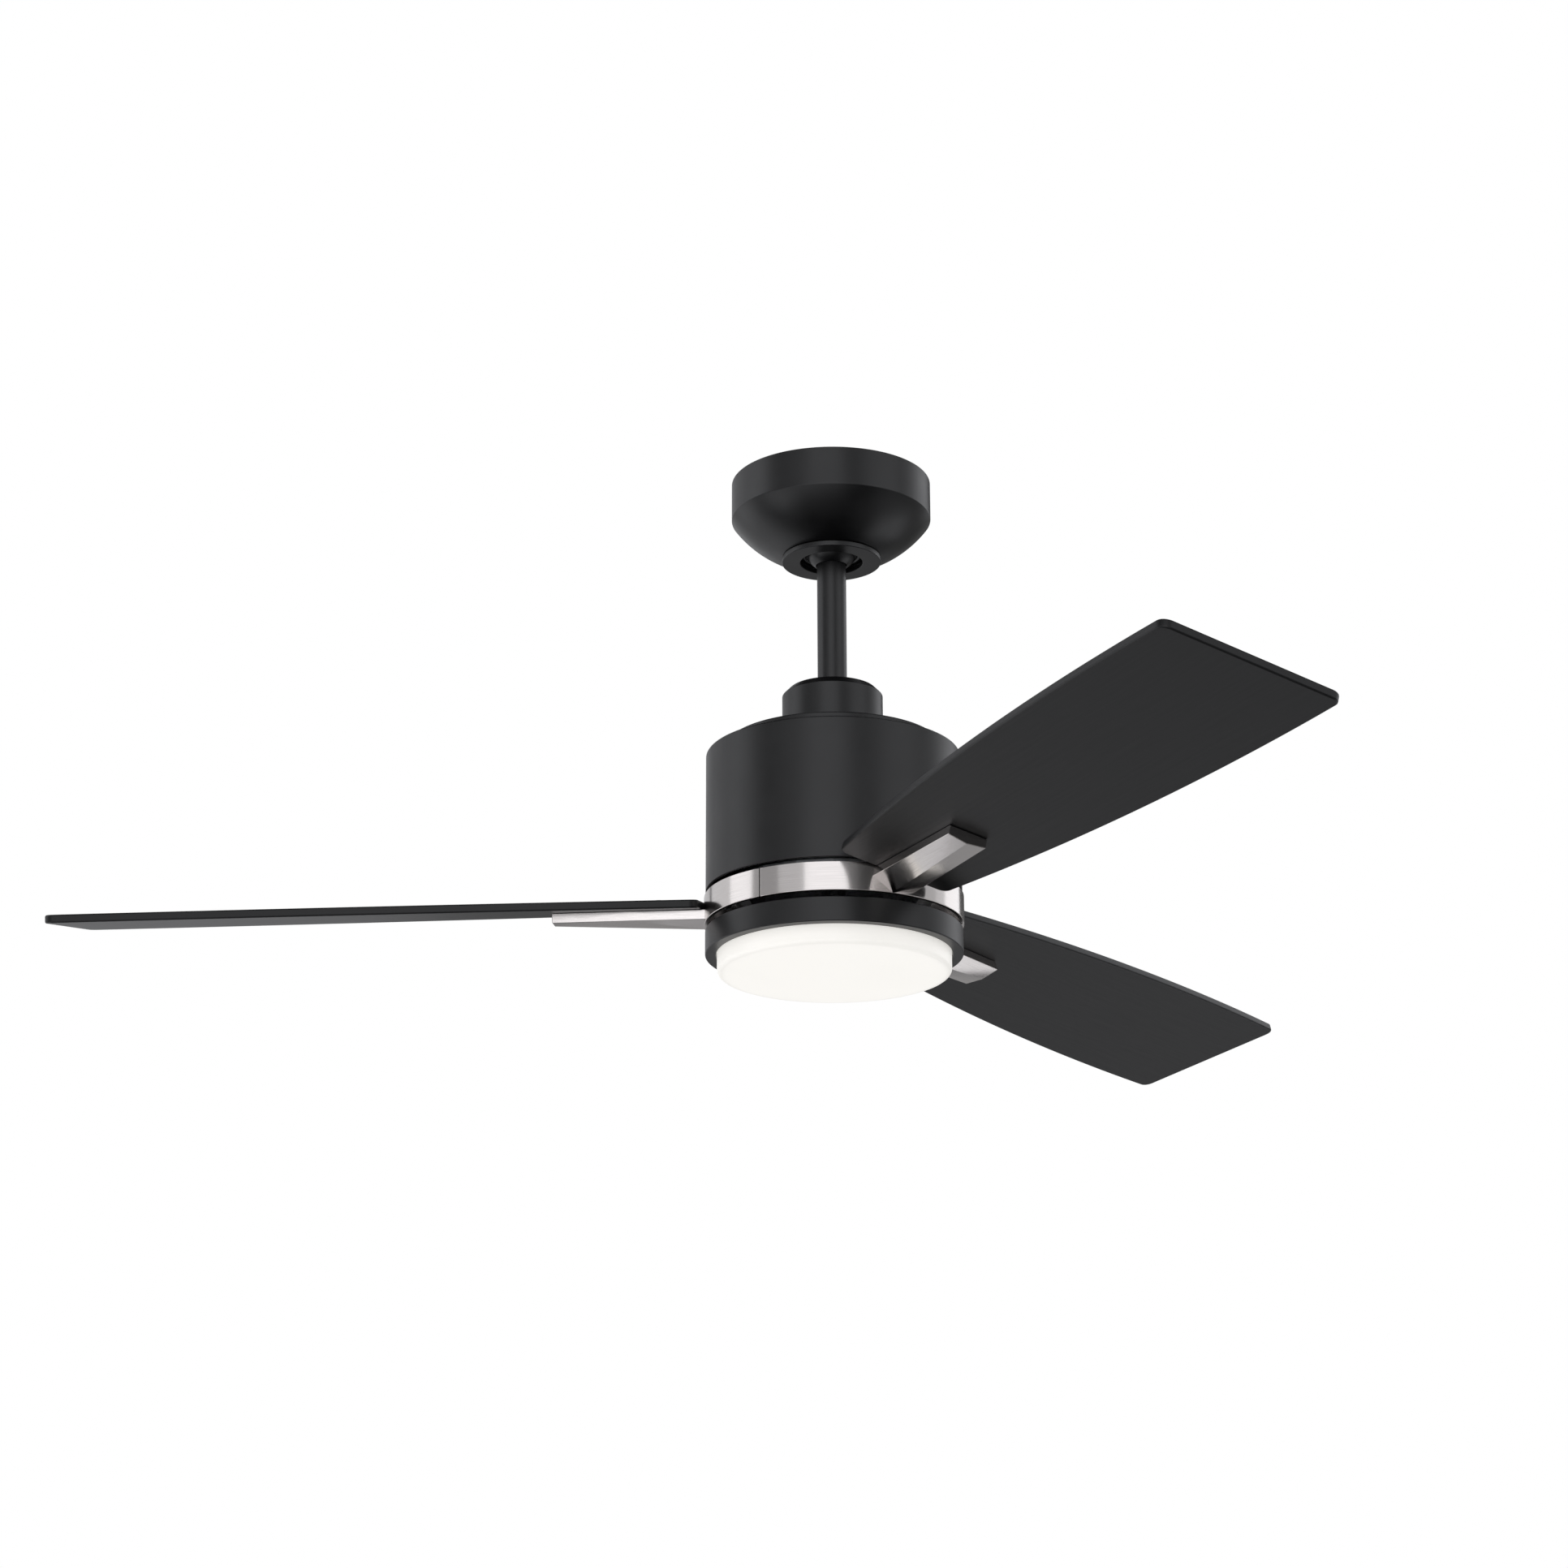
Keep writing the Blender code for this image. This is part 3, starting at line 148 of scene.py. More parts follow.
@dataclass(frozen=True)
class Finish:
    """What every finish has: a plain surface that its own method then gives detail."""

    name: str
    slot: str
    colour: str
    roughness: float
    metallic: float = 0.0
    ior: float = 1.5
    other: str = "#000000"           # the colour that the pattern tends to

    def material(self) -> bpy.types.Material:
        """Return this finish's material, made the first time it is asked for."""
        found = bpy.data.materials.get(self.name)
        if found is None:
            found = bpy.data.materials.new(self.name)
            found.use_nodes = True
            surface = found.node_tree.nodes["Principled BSDF"]
            surface.inputs["Base Color"].default_value = linear(self.colour)
            surface.inputs["Roughness"].default_value = self.roughness
            surface.inputs["Metallic"].default_value = self.metallic
            surface.inputs["IOR"].default_value = self.ior
            self.detail(found.node_tree, surface)
        return found

    def detail(self, tree: Tree, surface: Node) -> None:
        """Give the surface its pattern. Each kind of finish has its own."""

    def places(self, tree: Tree, stretch: Corner = (1, 1, 1)) -> Socket:
        """Return the surface's own coordinates in metres, stretched along each axis."""
        own = add_node(tree, "ShaderNodeTexCoord")
        return add_node(tree, "ShaderNodeMapping", {"Vector": own.outputs["Object"], "Scale": stretch},
                        vector_type="POINT").outputs["Vector"]

    def speckle(self, tree: Tree, size: float, detail: float = 2.0,
                places: Socket | None = None) -> Socket:
        """Return a soft random value whose blots are about size metres across."""
        return add_node(tree, "ShaderNodeTexNoise", {
            "Vector": places or self.places(tree), "Scale": 1 / size, "Detail": detail, "Roughness": 0.55,
        }).outputs["Fac"]

    def between(self, tree: Tree, value: Socket, low: float, high: float,
                start: float = 0.3, end: float = 0.7) -> Socket:
        """Map a value that runs from start to end to one that runs from low to high."""
        return add_node(tree, "ShaderNodeMapRange", {
            "Value": value, "From Min": start, "From Max": end, "To Min": low, "To Max": high,
        }).outputs["Result"]

    def tinted(self, tree: Tree, value: Socket, other: str) -> Socket:
        """Mix the finish's colour with another one by a value from 0 to 1."""
        return add_node(tree, "ShaderNodeMix", {
            "Factor": value, "A": linear(self.colour), "B": linear(other),
        }, data_type="RGBA").outputs["Result"]

    def varied(self, tree: Tree, surface: Node, value: Socket, spread: Point, share: float) -> None:
        """Let one pattern change both the gloss and the colour.

        Args:
            tree: the material's node tree.
            surface: its shader.
            value: the pattern.
            spread: how far the roughness goes down and up.
            share: how far the colour goes towards the other one.
        """
        rough = self.between(tree, value, self.roughness - spread[0], self.roughness + spread[1])
        tint = self.tinted(tree, self.between(tree, value, 0.0, share), self.other)
        tree.links.new(rough, surface.inputs["Roughness"])
        tree.links.new(tint, surface.inputs["Base Color"])

    def raised(self, tree: Tree, surface: Node, height: Socket,
               strength: float, depth: float) -> None:
        """Raise the surface by a height map that is depth metres from low to high."""
        bump = add_node(tree, "ShaderNodeBump", {"Height": height, "Strength": strength, "Distance": depth})
        tree.links.new(bump.outputs["Normal"], surface.inputs["Normal"])


@dataclass(frozen=True)
class PowderCoat(Finish):
    """Powder coat baked on steel: even and satin, with the faint pebble of melted grains."""

    other: str = "#161617"           # where the coat lies thickest
    grain: float = 0.9 * MM          # a fine powder's pebble, drawn twice as coarse so that it shows
    pool: float = 26 * MM            # slow change in how thick the coat lies

    def detail(self, tree: Tree, surface: Node) -> None:
        """Add the pebble, and the slow change in gloss and colour."""
        pebble = self.speckle(tree, self.grain)
        pool = self.speckle(tree, self.pool)
        self.varied(tree, surface, pool, (0.03, 0.03), 0.5)
        self.raised(tree, surface, pebble, 0.10, 0.02 * MM)


@dataclass(frozen=True)
class BladeFoil(Finish):
    """Matt black foil pressed on fibreboard: a very fine stipple over a faint lengthwise grain."""

    other: str = "#101011"           # along a streak of the grain
    stipple: float = 0.7 * MM
    grain: float = 2.2 * MM          # width of one streak of the grain

    def detail(self, tree: Tree, surface: Node) -> None:
        """Add the stipple to the normal, and the grain to the gloss and colour."""
        stipple = self.speckle(tree, self.stipple)
        grain = self.speckle(tree, self.grain, 3.0, self.places(tree, (0.03, 1, 1)))
        self.varied(tree, surface, grain, (0.02, 0.02), 0.6)
        self.raised(tree, surface, stipple, 0.08, 0.015 * MM)


@dataclass(frozen=True)
class BrushedNickel(Finish):
    """Nickel plate over a belt-brushed casting: warm grey, with long fine scratches one way."""

    other: str = "#d2cdca"           # the colour at the bottom of a scratch
    brushing: Brushing = Brushing.ALONG_X
    line: float = 0.45 * MM          # a scratch is about 0.05 mm wide, drawn coarser so that it shows
    length: float = 30 * MM

    def detail(self, tree: Tree, surface: Node) -> None:
        """Draw the scratches along the belt's way, in the gloss, the colour and the normal."""
        own = add_node(tree, "ShaderNodeTexCoord").outputs["Object"]
        ratio = self.line / self.length
        if self.brushing is Brushing.ROUND_THE_AXIS:
            apart = add_node(tree, "ShaderNodeSeparateXYZ", {"Vector": own})
            turn = add_node(tree, "ShaderNodeMath", {0: apart.outputs["Y"], 1: apart.outputs["X"]},
                            operation="ARCTAN2")
            way_round = add_node(tree, "ShaderNodeMath", {
                0: turn.outputs["Value"], 1: BladeArm.ring_radius * ratio}, operation="MULTIPLY")
            places = add_node(tree, "ShaderNodeCombineXYZ", {
                "X": way_round.outputs["Value"], "Y": apart.outputs["Z"]}).outputs["Vector"]
        else:
            places = self.places(tree, (ratio, 1, 1))
        lines = self.speckle(tree, self.line, 4.0, places)
        self.varied(tree, surface, lines, (0.03, 0.03), 1.0)
        surface.inputs["Anisotropic"].default_value = 0.6
        if self.brushing is Brushing.ROUND_THE_AXIS:
            # the tangent runs round the ring, and a highlight stretches across the scratches
            surface.inputs["Anisotropic Rotation"].default_value = 0.25
        tangent = add_node(tree, "ShaderNodeTangent", direction_type="RADIAL", axis="Z")
        tree.links.new(tangent.outputs["Tangent"], surface.inputs["Tangent"])
        self.raised(tree, surface, lines, 0.06, 0.01 * MM)


@dataclass(frozen=True)
class OpalAcrylic(Finish):
    """Frosted opal acrylic with a light behind it: even and near white, a little dimmer at its rim."""

    glow: str = "#fffdf8"
    strength: float = 0.69
    rim_level: float = 0.78          # of the rim and the side wall, where the face is 1
    face_radius: float = 0.0836

    def detail(self, tree: Tree, surface: Node) -> None:
        """Add the glow, its fall towards the rim, its slow unevenness and the frosting."""
        own = add_node(tree, "ShaderNodeTexCoord").outputs["Object"]
        flat = add_node(tree, "ShaderNodeVectorMath", {0: own, 1: (1, 1, 0)}, operation="MULTIPLY")
        out = add_node(tree, "ShaderNodeVectorMath", {0: flat.outputs["Vector"]}, operation="LENGTH")
        fall = self.between(tree, out.outputs["Value"], 1.0, self.rim_level, 0.93 * self.face_radius,
                            self.face_radius)
        uneven = self.between(tree, self.speckle(tree, 45 * MM, 1.0), 0.985, 1.015)
        level = add_node(tree, "ShaderNodeMath", {0: fall, 1: uneven}, operation="MULTIPLY")
        glow = add_node(tree, "ShaderNodeMix", {
            "Factor": level.outputs["Value"], "A": linear("#000000"), "B": linear(self.glow),
        }, data_type="RGBA").outputs["Result"]
        tree.links.new(glow, surface.inputs["Emission Color"])
        surface.inputs["Emission Strength"].default_value = self.strength
        self.raised(tree, surface, self.speckle(tree, 0.5 * MM), 0.05, 0.01 * MM)


@dataclass(frozen=True)
class Stippled(Finish):
    """A surface with one grain over all of it: cast, moulded, plated, oxidised or sintered."""

    grain: float = 1.2 * MM
    share: float = 0.5               # how far the grain goes towards the other colour
    height: float = 0.03 * MM
    stretch: Corner = (1, 1, 1)

    def detail(self, tree: Tree, surface: Node) -> None:
        """Put the grain in the colour, the gloss and the normal."""
        grain = self.speckle(tree, self.grain, 3.0, self.places(tree, self.stretch))
        self.varied(tree, surface, grain, (0.05, 0.06), self.share)
        self.raised(tree, surface, grain, 0.25, self.height)


@dataclass(frozen=True)
class Layered(Finish):
    """A surface built of even layers or turns up the axis: stacked sheets or wound wire."""

    pitch: float = 0.5 * MM

    def detail(self, tree: Tree, surface: Node) -> None:
        """Draw one band for each layer."""
        bands = add_node(tree, "ShaderNodeTexWave", {
            "Vector": self.places(tree), "Scale": 1 / (self.pitch * 6.4), "Distortion": 0.4, "Detail": 1.0,
        }, wave_type="BANDS", bands_direction="Z", wave_profile="SIN").outputs["Fac"]
        tree.links.new(self.tinted(tree, bands, self.other), surface.inputs["Base Color"])
        self.raised(tree, surface, bands, 0.5, 0.1 * MM)


# Powder coat reflects like any clear resin, and its black pigment leaves little but that reflection.
SATIN_BLACK = PowderCoat("satin_black_powder_coat", "satin_black_paint", "#0c0c0d", 0.36)
# Melamine foil on fibreboard is duller than paint, and flat enough to carry a soft sheen at low angles.
MATT_FOIL = BladeFoil("matt_black_blade_foil", "black_blade", "#0b0b0c", 0.42, ior=1.42)
# Nickel is a warmer grey than steel. The ring was brushed on a lathe and the arms along their length.
NICKEL_ROUND = BrushedNickel("brushed_nickel_ring", "brushed_nickel", "#ddd8d5", 0.17, 1.0,
                             brushing=Brushing.ROUND_THE_AXIS)
NICKEL_ALONG = BrushedNickel("brushed_nickel_arm", "brushed_nickel", "#ddd8d5", 0.18, 1.0)
# Opal acrylic scatters the light so evenly that the lens looks white all over.
OPAL = OpalAcrylic("opal_acrylic_lens", "opal_lens", "#d8d5cf", 0.42, ior=1.49)
# Zinc plate is a dull blue-grey with small spangles. Black oxide is a thin dark film on bare steel.
ZINC = Stippled("zinc_plated_steel", "zinc_steel", "#a9abac", 0.36, 1.0, other="#8d8f90", grain=1.6 * MM)
BEARING = Stippled("ground_bearing_steel", "bearing_steel", "#c4c6c9", 0.16, 1.0, other="#b4b6b9",
                   grain=0.4 * MM, stretch=(0.1, 0.1, 1), height=0.004 * MM)
OXIDE = Stippled("black_oxide_screw_steel", "black_oxide_screw", "#2b2b2c", 0.38, 1.0, other="#1c1c1d",
                 grain=0.8 * MM)
# A die casting left raw has a grey skin with flow marks. Sintered ferrite is a dark, dry ceramic.
CASTING = Stippled("raw_die_cast_aluminium", "cast_aluminium", "#b3b5b7", 0.42, 1.0, other="#96989a",
                   grain=3 * MM)
FERRITE = Stippled("sintered_ferrite_magnet", "magnet_ferrite", "#3b3b3d", 0.62, other="#2c2c2e",
                   grain=0.7 * MM, ior=2.0)
# The stator is stacked from 0.5 mm sheets, and the coils are 0.6 mm wire in a clear red-brown enamel.
LAMINATED = Layered("laminated_silicon_steel", "silicon_steel", "#77797c", 0.45, 1.0, other="#4a4b4d",
                    pitch=0.5 * MM)
COPPER = Layered("enamelled_copper_wire", "enamelled_copper", "#a8592f", 0.30, 1.0, other="#5e2d16",
                 pitch=0.6 * MM)
# Mouldings take a fine spark-eroded texture from their tools, and nylon is smoother and a little waxy.
NYLON = Stippled("black_moulded_nylon", "nylon", "#2a2a2b", 0.44, other="#202021", grain=1.0 * MM, ior=1.53)
BLACK_ABS = Stippled("black_moulded_abs", "moulded_black", "#262627", 0.52, other="#1d1d1e",
                     grain=0.6 * MM, ior=1.54)
WHITE_ABS = Stippled("white_moulded_abs", "white_moulding", "#eeeeec", 0.50, other="#e3e3e0",
                     grain=0.6 * MM, ior=1.54)
# White solder mask hides the copper, which shows as faint raised patches. Cable jackets are matt vinyl.
SOLDER_MASK = Stippled("white_solder_mask_board", "circuit_board", "#ecefec", 0.36, other="#dde2dd",
                       grain=5 * MM, share=0.8)
JACKET = Stippled("black_vinyl_cable_jacket", "cable_jacket", "#28282a", 0.58, other="#1d1d1f",
                  grain=0.9 * MM, ior=1.53)
FINISHES = (SATIN_BLACK, MATT_FOIL, NICKEL_ROUND, OPAL, ZINC, BEARING, OXIDE, CASTING, FERRITE, LAMINATED,
            COPPER, NYLON, BLACK_ABS, WHITE_ABS, SOLDER_MASK, JACKET)


# ---------------------------------------------------------------- outlines and meshes
def softened(corners: Sequence[Corner]) -> list[Point]:
    """Round the corners of a closed outline.

    Args:
        corners: each corner's two coordinates and the radius it is rounded to, where 0 keeps it sharp.

    Returns:
        The outline's points, with an arc in place of each rounded corner.
    """
    made: list[Point] = []
    count = len(corners)
    for i, (x, y, radius) in enumerate(corners):
        here = Vector((x, y))
        before = Vector(corners[i - 1][:2]) - here
        after = Vector(corners[(i + 1) % count][:2]) - here
        if radius <= 0 or before.length < 1e-9 or after.length < 1e-9:
            made.append((x, y))
            continue
        half = before.angle(after) / 2
        if half > math.radians(89.5):
            made.append((x, y))
            continue
        reach = min(radius / math.tan(half), 0.49 * before.length, 0.49 * after.length)
        centre = here + (before.normalized() + after.normalized()).normalized() * (reach / math.cos(half))
        start = here + before.normalized() * reach - centre
        sweep = start.angle_signed(here + after.normalized() * reach - centre)
        steps = max(2, round(abs(sweep) / CORNER_STEP))
        for s in range(steps + 1):
            turned = Matrix.Rotation(-sweep * s / steps, 2) @ start
            made.append(tuple(centre + turned))
    return made


def inset(outline: Sequence[Point], distance: float) -> list[Point]:
    """Move a closed counter-clockwise outline inwards by a distance."""
    made = []
    count = len(outline)
    for i in range(count):
        here = Vector(outline[i])
        before = (here - Vector(outline[i - 1])).normalized()
        after = (Vector(outline[(i + 1) % count]) - here).normalized()
        sides = [Vector((-way.y, way.x)) for way in (before, after)]
        middle = (sides[0] + sides[1]).normalized()
        made.append(tuple(here + middle * (distance / max(0.5, middle.dot(sides[0])))))
    return made


def new_object(name: str, bm: bmesh.types.BMesh) -> Object:
    """Turn a bmesh to a linked object whose faces all point outwards."""
    bmesh.ops.recalc_face_normals(bm, faces=bm.faces)
    mesh = bpy.data.meshes.new(name)
    bm.to_mesh(mesh)
    bm.free()
    obj = bpy.data.objects.new(name, mesh)
    bpy.context.scene.collection.objects.link(obj)
    return obj


def skin_loops(bm: bmesh.types.BMesh, loops: Sequence[Sequence[bmesh.types.BMVert]], closed: bool) -> None:
    """Join each loop of vertices to the next one. A loop of one vertex is a pole.

    Args:
        bm: the mesh the vertices are in.
        loops: loops of the same count, apart from poles.
        closed: whether the last loop is joined to the first one.
    """
    pairs = list(zip(loops, loops[1:])) + ([(loops[-1], loops[0])] if closed else [])
    for a, b in pairs:
        count = max(len(a), len(b))
        if count == 1:
            continue
        for i in range(count):
            j = (i + 1) % count
            ring = [a[i % len(a)], a[j % len(a)], b[j % len(b)], b[i % len(b)]]
            bm.faces.new(list(dict.fromkeys(ring)))


def turned(name: str, corners: Sequence[Corner], sides: int = ROUND_SIDES) -> Object:
    """Turn a closed outline of (radius, height, rounding) corners round the Z axis."""
    bm = bmesh.new()
    loops = []
    for radius, height in softened(corners):
        if radius < 1e-6:
            loops.append([bm.verts.new((0.0, 0.0, height))])
            continue
        angles = (2 * math.pi * i / sides for i in range(sides))
        loops.append([bm.verts.new((radius * math.cos(a), radius * math.sin(a), height)) for a in angles])
    skin_loops(bm, loops, closed=True)
    return new_object(name, bm)


def lofted(name: str, sections: Sequence[Sequence[Sequence[float]]]) -> Object:
    """Join closed sections of the same count of points, with a flat face on each end."""
    bm = bmesh.new()
    loops = [[bm.verts.new(point) for point in section] for section in sections]
    skin_loops(bm, loops, closed=False)
    bm.faces.new(loops[0])
    bm.faces.new(loops[-1])
    return new_object(name, bm)


def cylinder(start: Sequence[float], end: Sequence[float], radius: float) -> Object:
    """A plain bar from one point to another, used to drill with."""
    along = Vector(end) - Vector(start)
    turn = along.to_track_quat("Z", "X").to_matrix().to_4x4()
    bm = bmesh.new()
    bmesh.ops.create_cone(bm, cap_ends=True, segments=SMALL_SIDES, radius1=radius, radius2=radius,
                          depth=along.length, matrix=Matrix.Translation(Vector(start) + along / 2) @ turn)
    return new_object("drill", bm)


def drills(places: Iterable[Sequence[float]], low: float, high: float,
           radius: float = SCREW_HOLE) -> list[Object]:
    """Upright drills at some places, from one height to another."""
    return [cylinder((place[0], place[1], low), (place[0], place[1], high), radius) for place in places]


def quarter_round(radius: float, steps: int) -> list[Point]:
    """The steps of a rounded edge, each as its distance in from the side and back from the end."""
    turns = (math.pi / 2 * i / steps for i in range(steps + 1))
    return [(radius * (1 - math.sin(turn)), radius * (1 - math.cos(turn))) for turn in turns]


def combined(obj: Object, others: Iterable[Object], operation: str) -> Object:
    """Join or cut an object with others, which are used up, and keep only the result."""
    others = list(others)
    for other in others:
        modifier = obj.modifiers.new(operation.lower(), "BOOLEAN")
        modifier.operation = operation
        modifier.solver = "EXACT"
        modifier.object = other
    bpy.context.view_layer.update()
    result = bpy.data.meshes.new_from_object(obj.evaluated_get(bpy.context.evaluated_depsgraph_get()))
    obj.modifiers.clear()
    obj.data = result
    for other in others:
        bpy.data.objects.remove(other)
    return obj


def smoothed(obj: Object, angle: float = SHARP_ANGLE) -> Object:
    """Shade an object smoothly, with its large faces kept flat and its true corners kept sharp."""
    obj.data.shade_smooth()
    obj.data.set_sharp_from_angle(angle=angle)
    modifier = obj.modifiers.new("flat faces stay flat", "WEIGHTED_NORMAL")
    modifier.mode = "FACE_AREA"
    modifier.weight = 90
    modifier.keep_sharp = True
    return obj


def polar(radius: float, azimuth: float, height: float = 0.0) -> Vector:
    """The point at a radius and an azimuth round the Z axis."""
    return Vector((radius * math.cos(azimuth), radius * math.sin(azimuth), height))


def blade_azimuth(k: int) -> float:
    """The azimuth that blade k points to."""
    return FIRST_BLADE_AZIMUTH + 2 * math.pi * k / BLADE_COUNT


def pitched() -> Matrix:
    """Maps a blade's own axes to the fan's, for a blade that points along +X."""
    return Matrix.Translation((0, 0, BLADE_PLANE_Z)) @ Matrix.Rotation(-BLADE_PITCH, 4, "X")


def fit(obj: Object, body: str, finish: Finish, *nodes: str) -> Object:
    """Put a piece on its body, in place of the solids it stands for.

    Args:
        obj: the finished piece, in place.
        body: the body that it rides on.
        finish: its finish, which is assigned if it has none yet.
        nodes: the solids that it replaces.

    Returns:
        The same piece.
    """
    if not obj.data.materials:
        obj.data.materials.append(finish.material())
    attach(obj, body)
    if nodes:
        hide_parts(*nodes)
    log.info("%s rides on %s, %d faces", obj.name, body, len(obj.data.polygons))
    return obj


# ---------------------------------------------------------------- fixings
HEAD_DOWN = Matrix.Rotation(math.pi, 4, "X")


@dataclass(frozen=True)
class PanScrew:
    """A pan-head machine screw with a cross recess, seated at z = 0 with its head above."""

    head_radius: float
    head_height: float
    shank_radius: float
    shank_length: float
    thread_pitch: float = 0.0008

    def build(self, name: str) -> Object:
        """Turn the head and shank, and cut the recess."""
        top = self.head_height
        thread = []
        for i in range(int(self.shank_length * 0.8 / self.thread_pitch)):
            low = -self.shank_length * 0.15 - i * self.thread_pitch
            thread.append((self.shank_radius, low, 0))
            thread.append((self.shank_radius * 0.88, low - self.thread_pitch / 2, 0))
        body = turned(name, [
            (0.0, top, 0), (self.head_radius * 0.55, top, 0.002),
            (self.head_radius, top - top * 0.55, 0.0006), (self.head_radius, 0.0, 0.0001),
            (self.shank_radius, 0.0, 0), *thread,
            (self.shank_radius * 0.8, -self.shank_length, 0), (0.0, -self.shank_length, 0),
        ], SMALL_SIDES)
        recess = top * 0.6
        arm, wing = self.head_radius * 0.55, self.head_radius * 0.11
        for half_x, half_y in ((arm, wing), (wing, arm)):
            corners = ((-half_x, -half_y), (half_x, -half_y), (half_x, half_y), (-half_x, half_y))
            low = [(x * 0.6, y, top - recess) for x, y in corners]
            high = [(x, y, top + 0.001) for x, y in corners]
            combined(body, [lofted("recess", [low, high])], "DIFFERENCE")
        return smoothed(body, math.radians(30))

    def drive(self, name: str, place: Matrix, body: str, finish: Finish, node: str) -> None:
        """Build the screw and seat it.

        Args:
            name: the new piece's name.
            place: where its seat is and which way its head points.
            body: the body that it rides on.
            finish: its finish.
            node: the solid that it replaces.
        """
        screw = self.build(name)
        screw.matrix_world = place
        fit(screw, body, finish, node)


# ---------------------------------------------------------------- at the ceiling
@dataclass
class Canopy:
    """The spun steel canopy against the ceiling, and the trim ring that hides its screws."""

    radius: float = 0.07345
    wall_depth: float = 0.0286
    floor_radius: float = 0.0360
    depth: float = 0.0574
    bulge: float = 0.0034
    hole_radius: float = 0.0250
    screw_radius: float = 0.0300
    sheet: float = 0.0015
    trim_radius: float = 0.0364
    trim_hole_radius: float = 0.0230
    trim_top: float = -0.0581
    trim_bottom: float = -0.0617
    trim_wall: float = 0.0012

    def dome(self, step_in: float, steps: int = 24) -> list[Corner]:
        """The shallow dome from the wall down to the floor, a sheet's thickness in or none."""
        start = Vector((self.radius - step_in, -self.wall_depth))
        end = Vector((self.floor_radius - 0.35 * step_in, -self.depth + step_in))
        along = end - start
        outward = Vector((-along.y, along.x)).normalized()
        shares = (i / steps for i in range(steps + 1))
        points = [start + along * t + outward * (4 * self.bulge * t * (1 - t)) for t in shares]
        crease = 0.0010
        return [(p.x, p.y, crease if i in (0, steps) else 0) for i, p in enumerate(points)]

    def build(self) -> None:
        """Make the shell with its screw holes, and the ring."""
        shell = turned("canopy_shell", [
            (self.radius, 0.0, 0.0004), *self.dome(0.0), (self.hole_radius, -self.depth, 0.0004),
            (self.hole_radius, -self.depth + self.sheet, 0.0004), *reversed(self.dome(self.sheet)),
            (self.radius - self.sheet, 0.0, 0.0004),
        ])
        places = [polar(self.screw_radius, a) for a in CANOPY_SCREW_AZIMUTHS]
        combined(shell, drills(places, -self.depth - 0.002, -self.depth + 0.004), "DIFFERENCE")
        fit(smoothed(shell), "ceiling_mount", SATIN_BLACK, "canopy")
        near, far, top, bottom = self.trim_hole_radius, self.trim_radius, self.trim_top, self.trim_bottom
        wall = self.trim_wall
        ring = turned("canopy_trim", [
            (far, top, 0.0002), (far, bottom, 0.0006), (near, bottom, 0.0005), (near, top, 0.0002),
            (near + wall, top, 0.0002), (near + wall, bottom + wall, 0.0003),
            (far - wall, bottom + wall, 0.0003), (far - wall, top, 0.0002),
        ])
        fit(smoothed(ring), "ceiling_mount", SATIN_BLACK, "canopy_trim_ring")
        for i, place in enumerate(places, 1):
            seat = Matrix.Translation((place.x, place.y, -self.depth - GAP)) @ HEAD_DOWN
            PanScrew(0.0034, 0.0020, 0.0018, 0.0071).drive(
                f"canopy_fixing_{i}", seat, "ceiling_mount", OXIDE, f"canopy_screw_{i}")


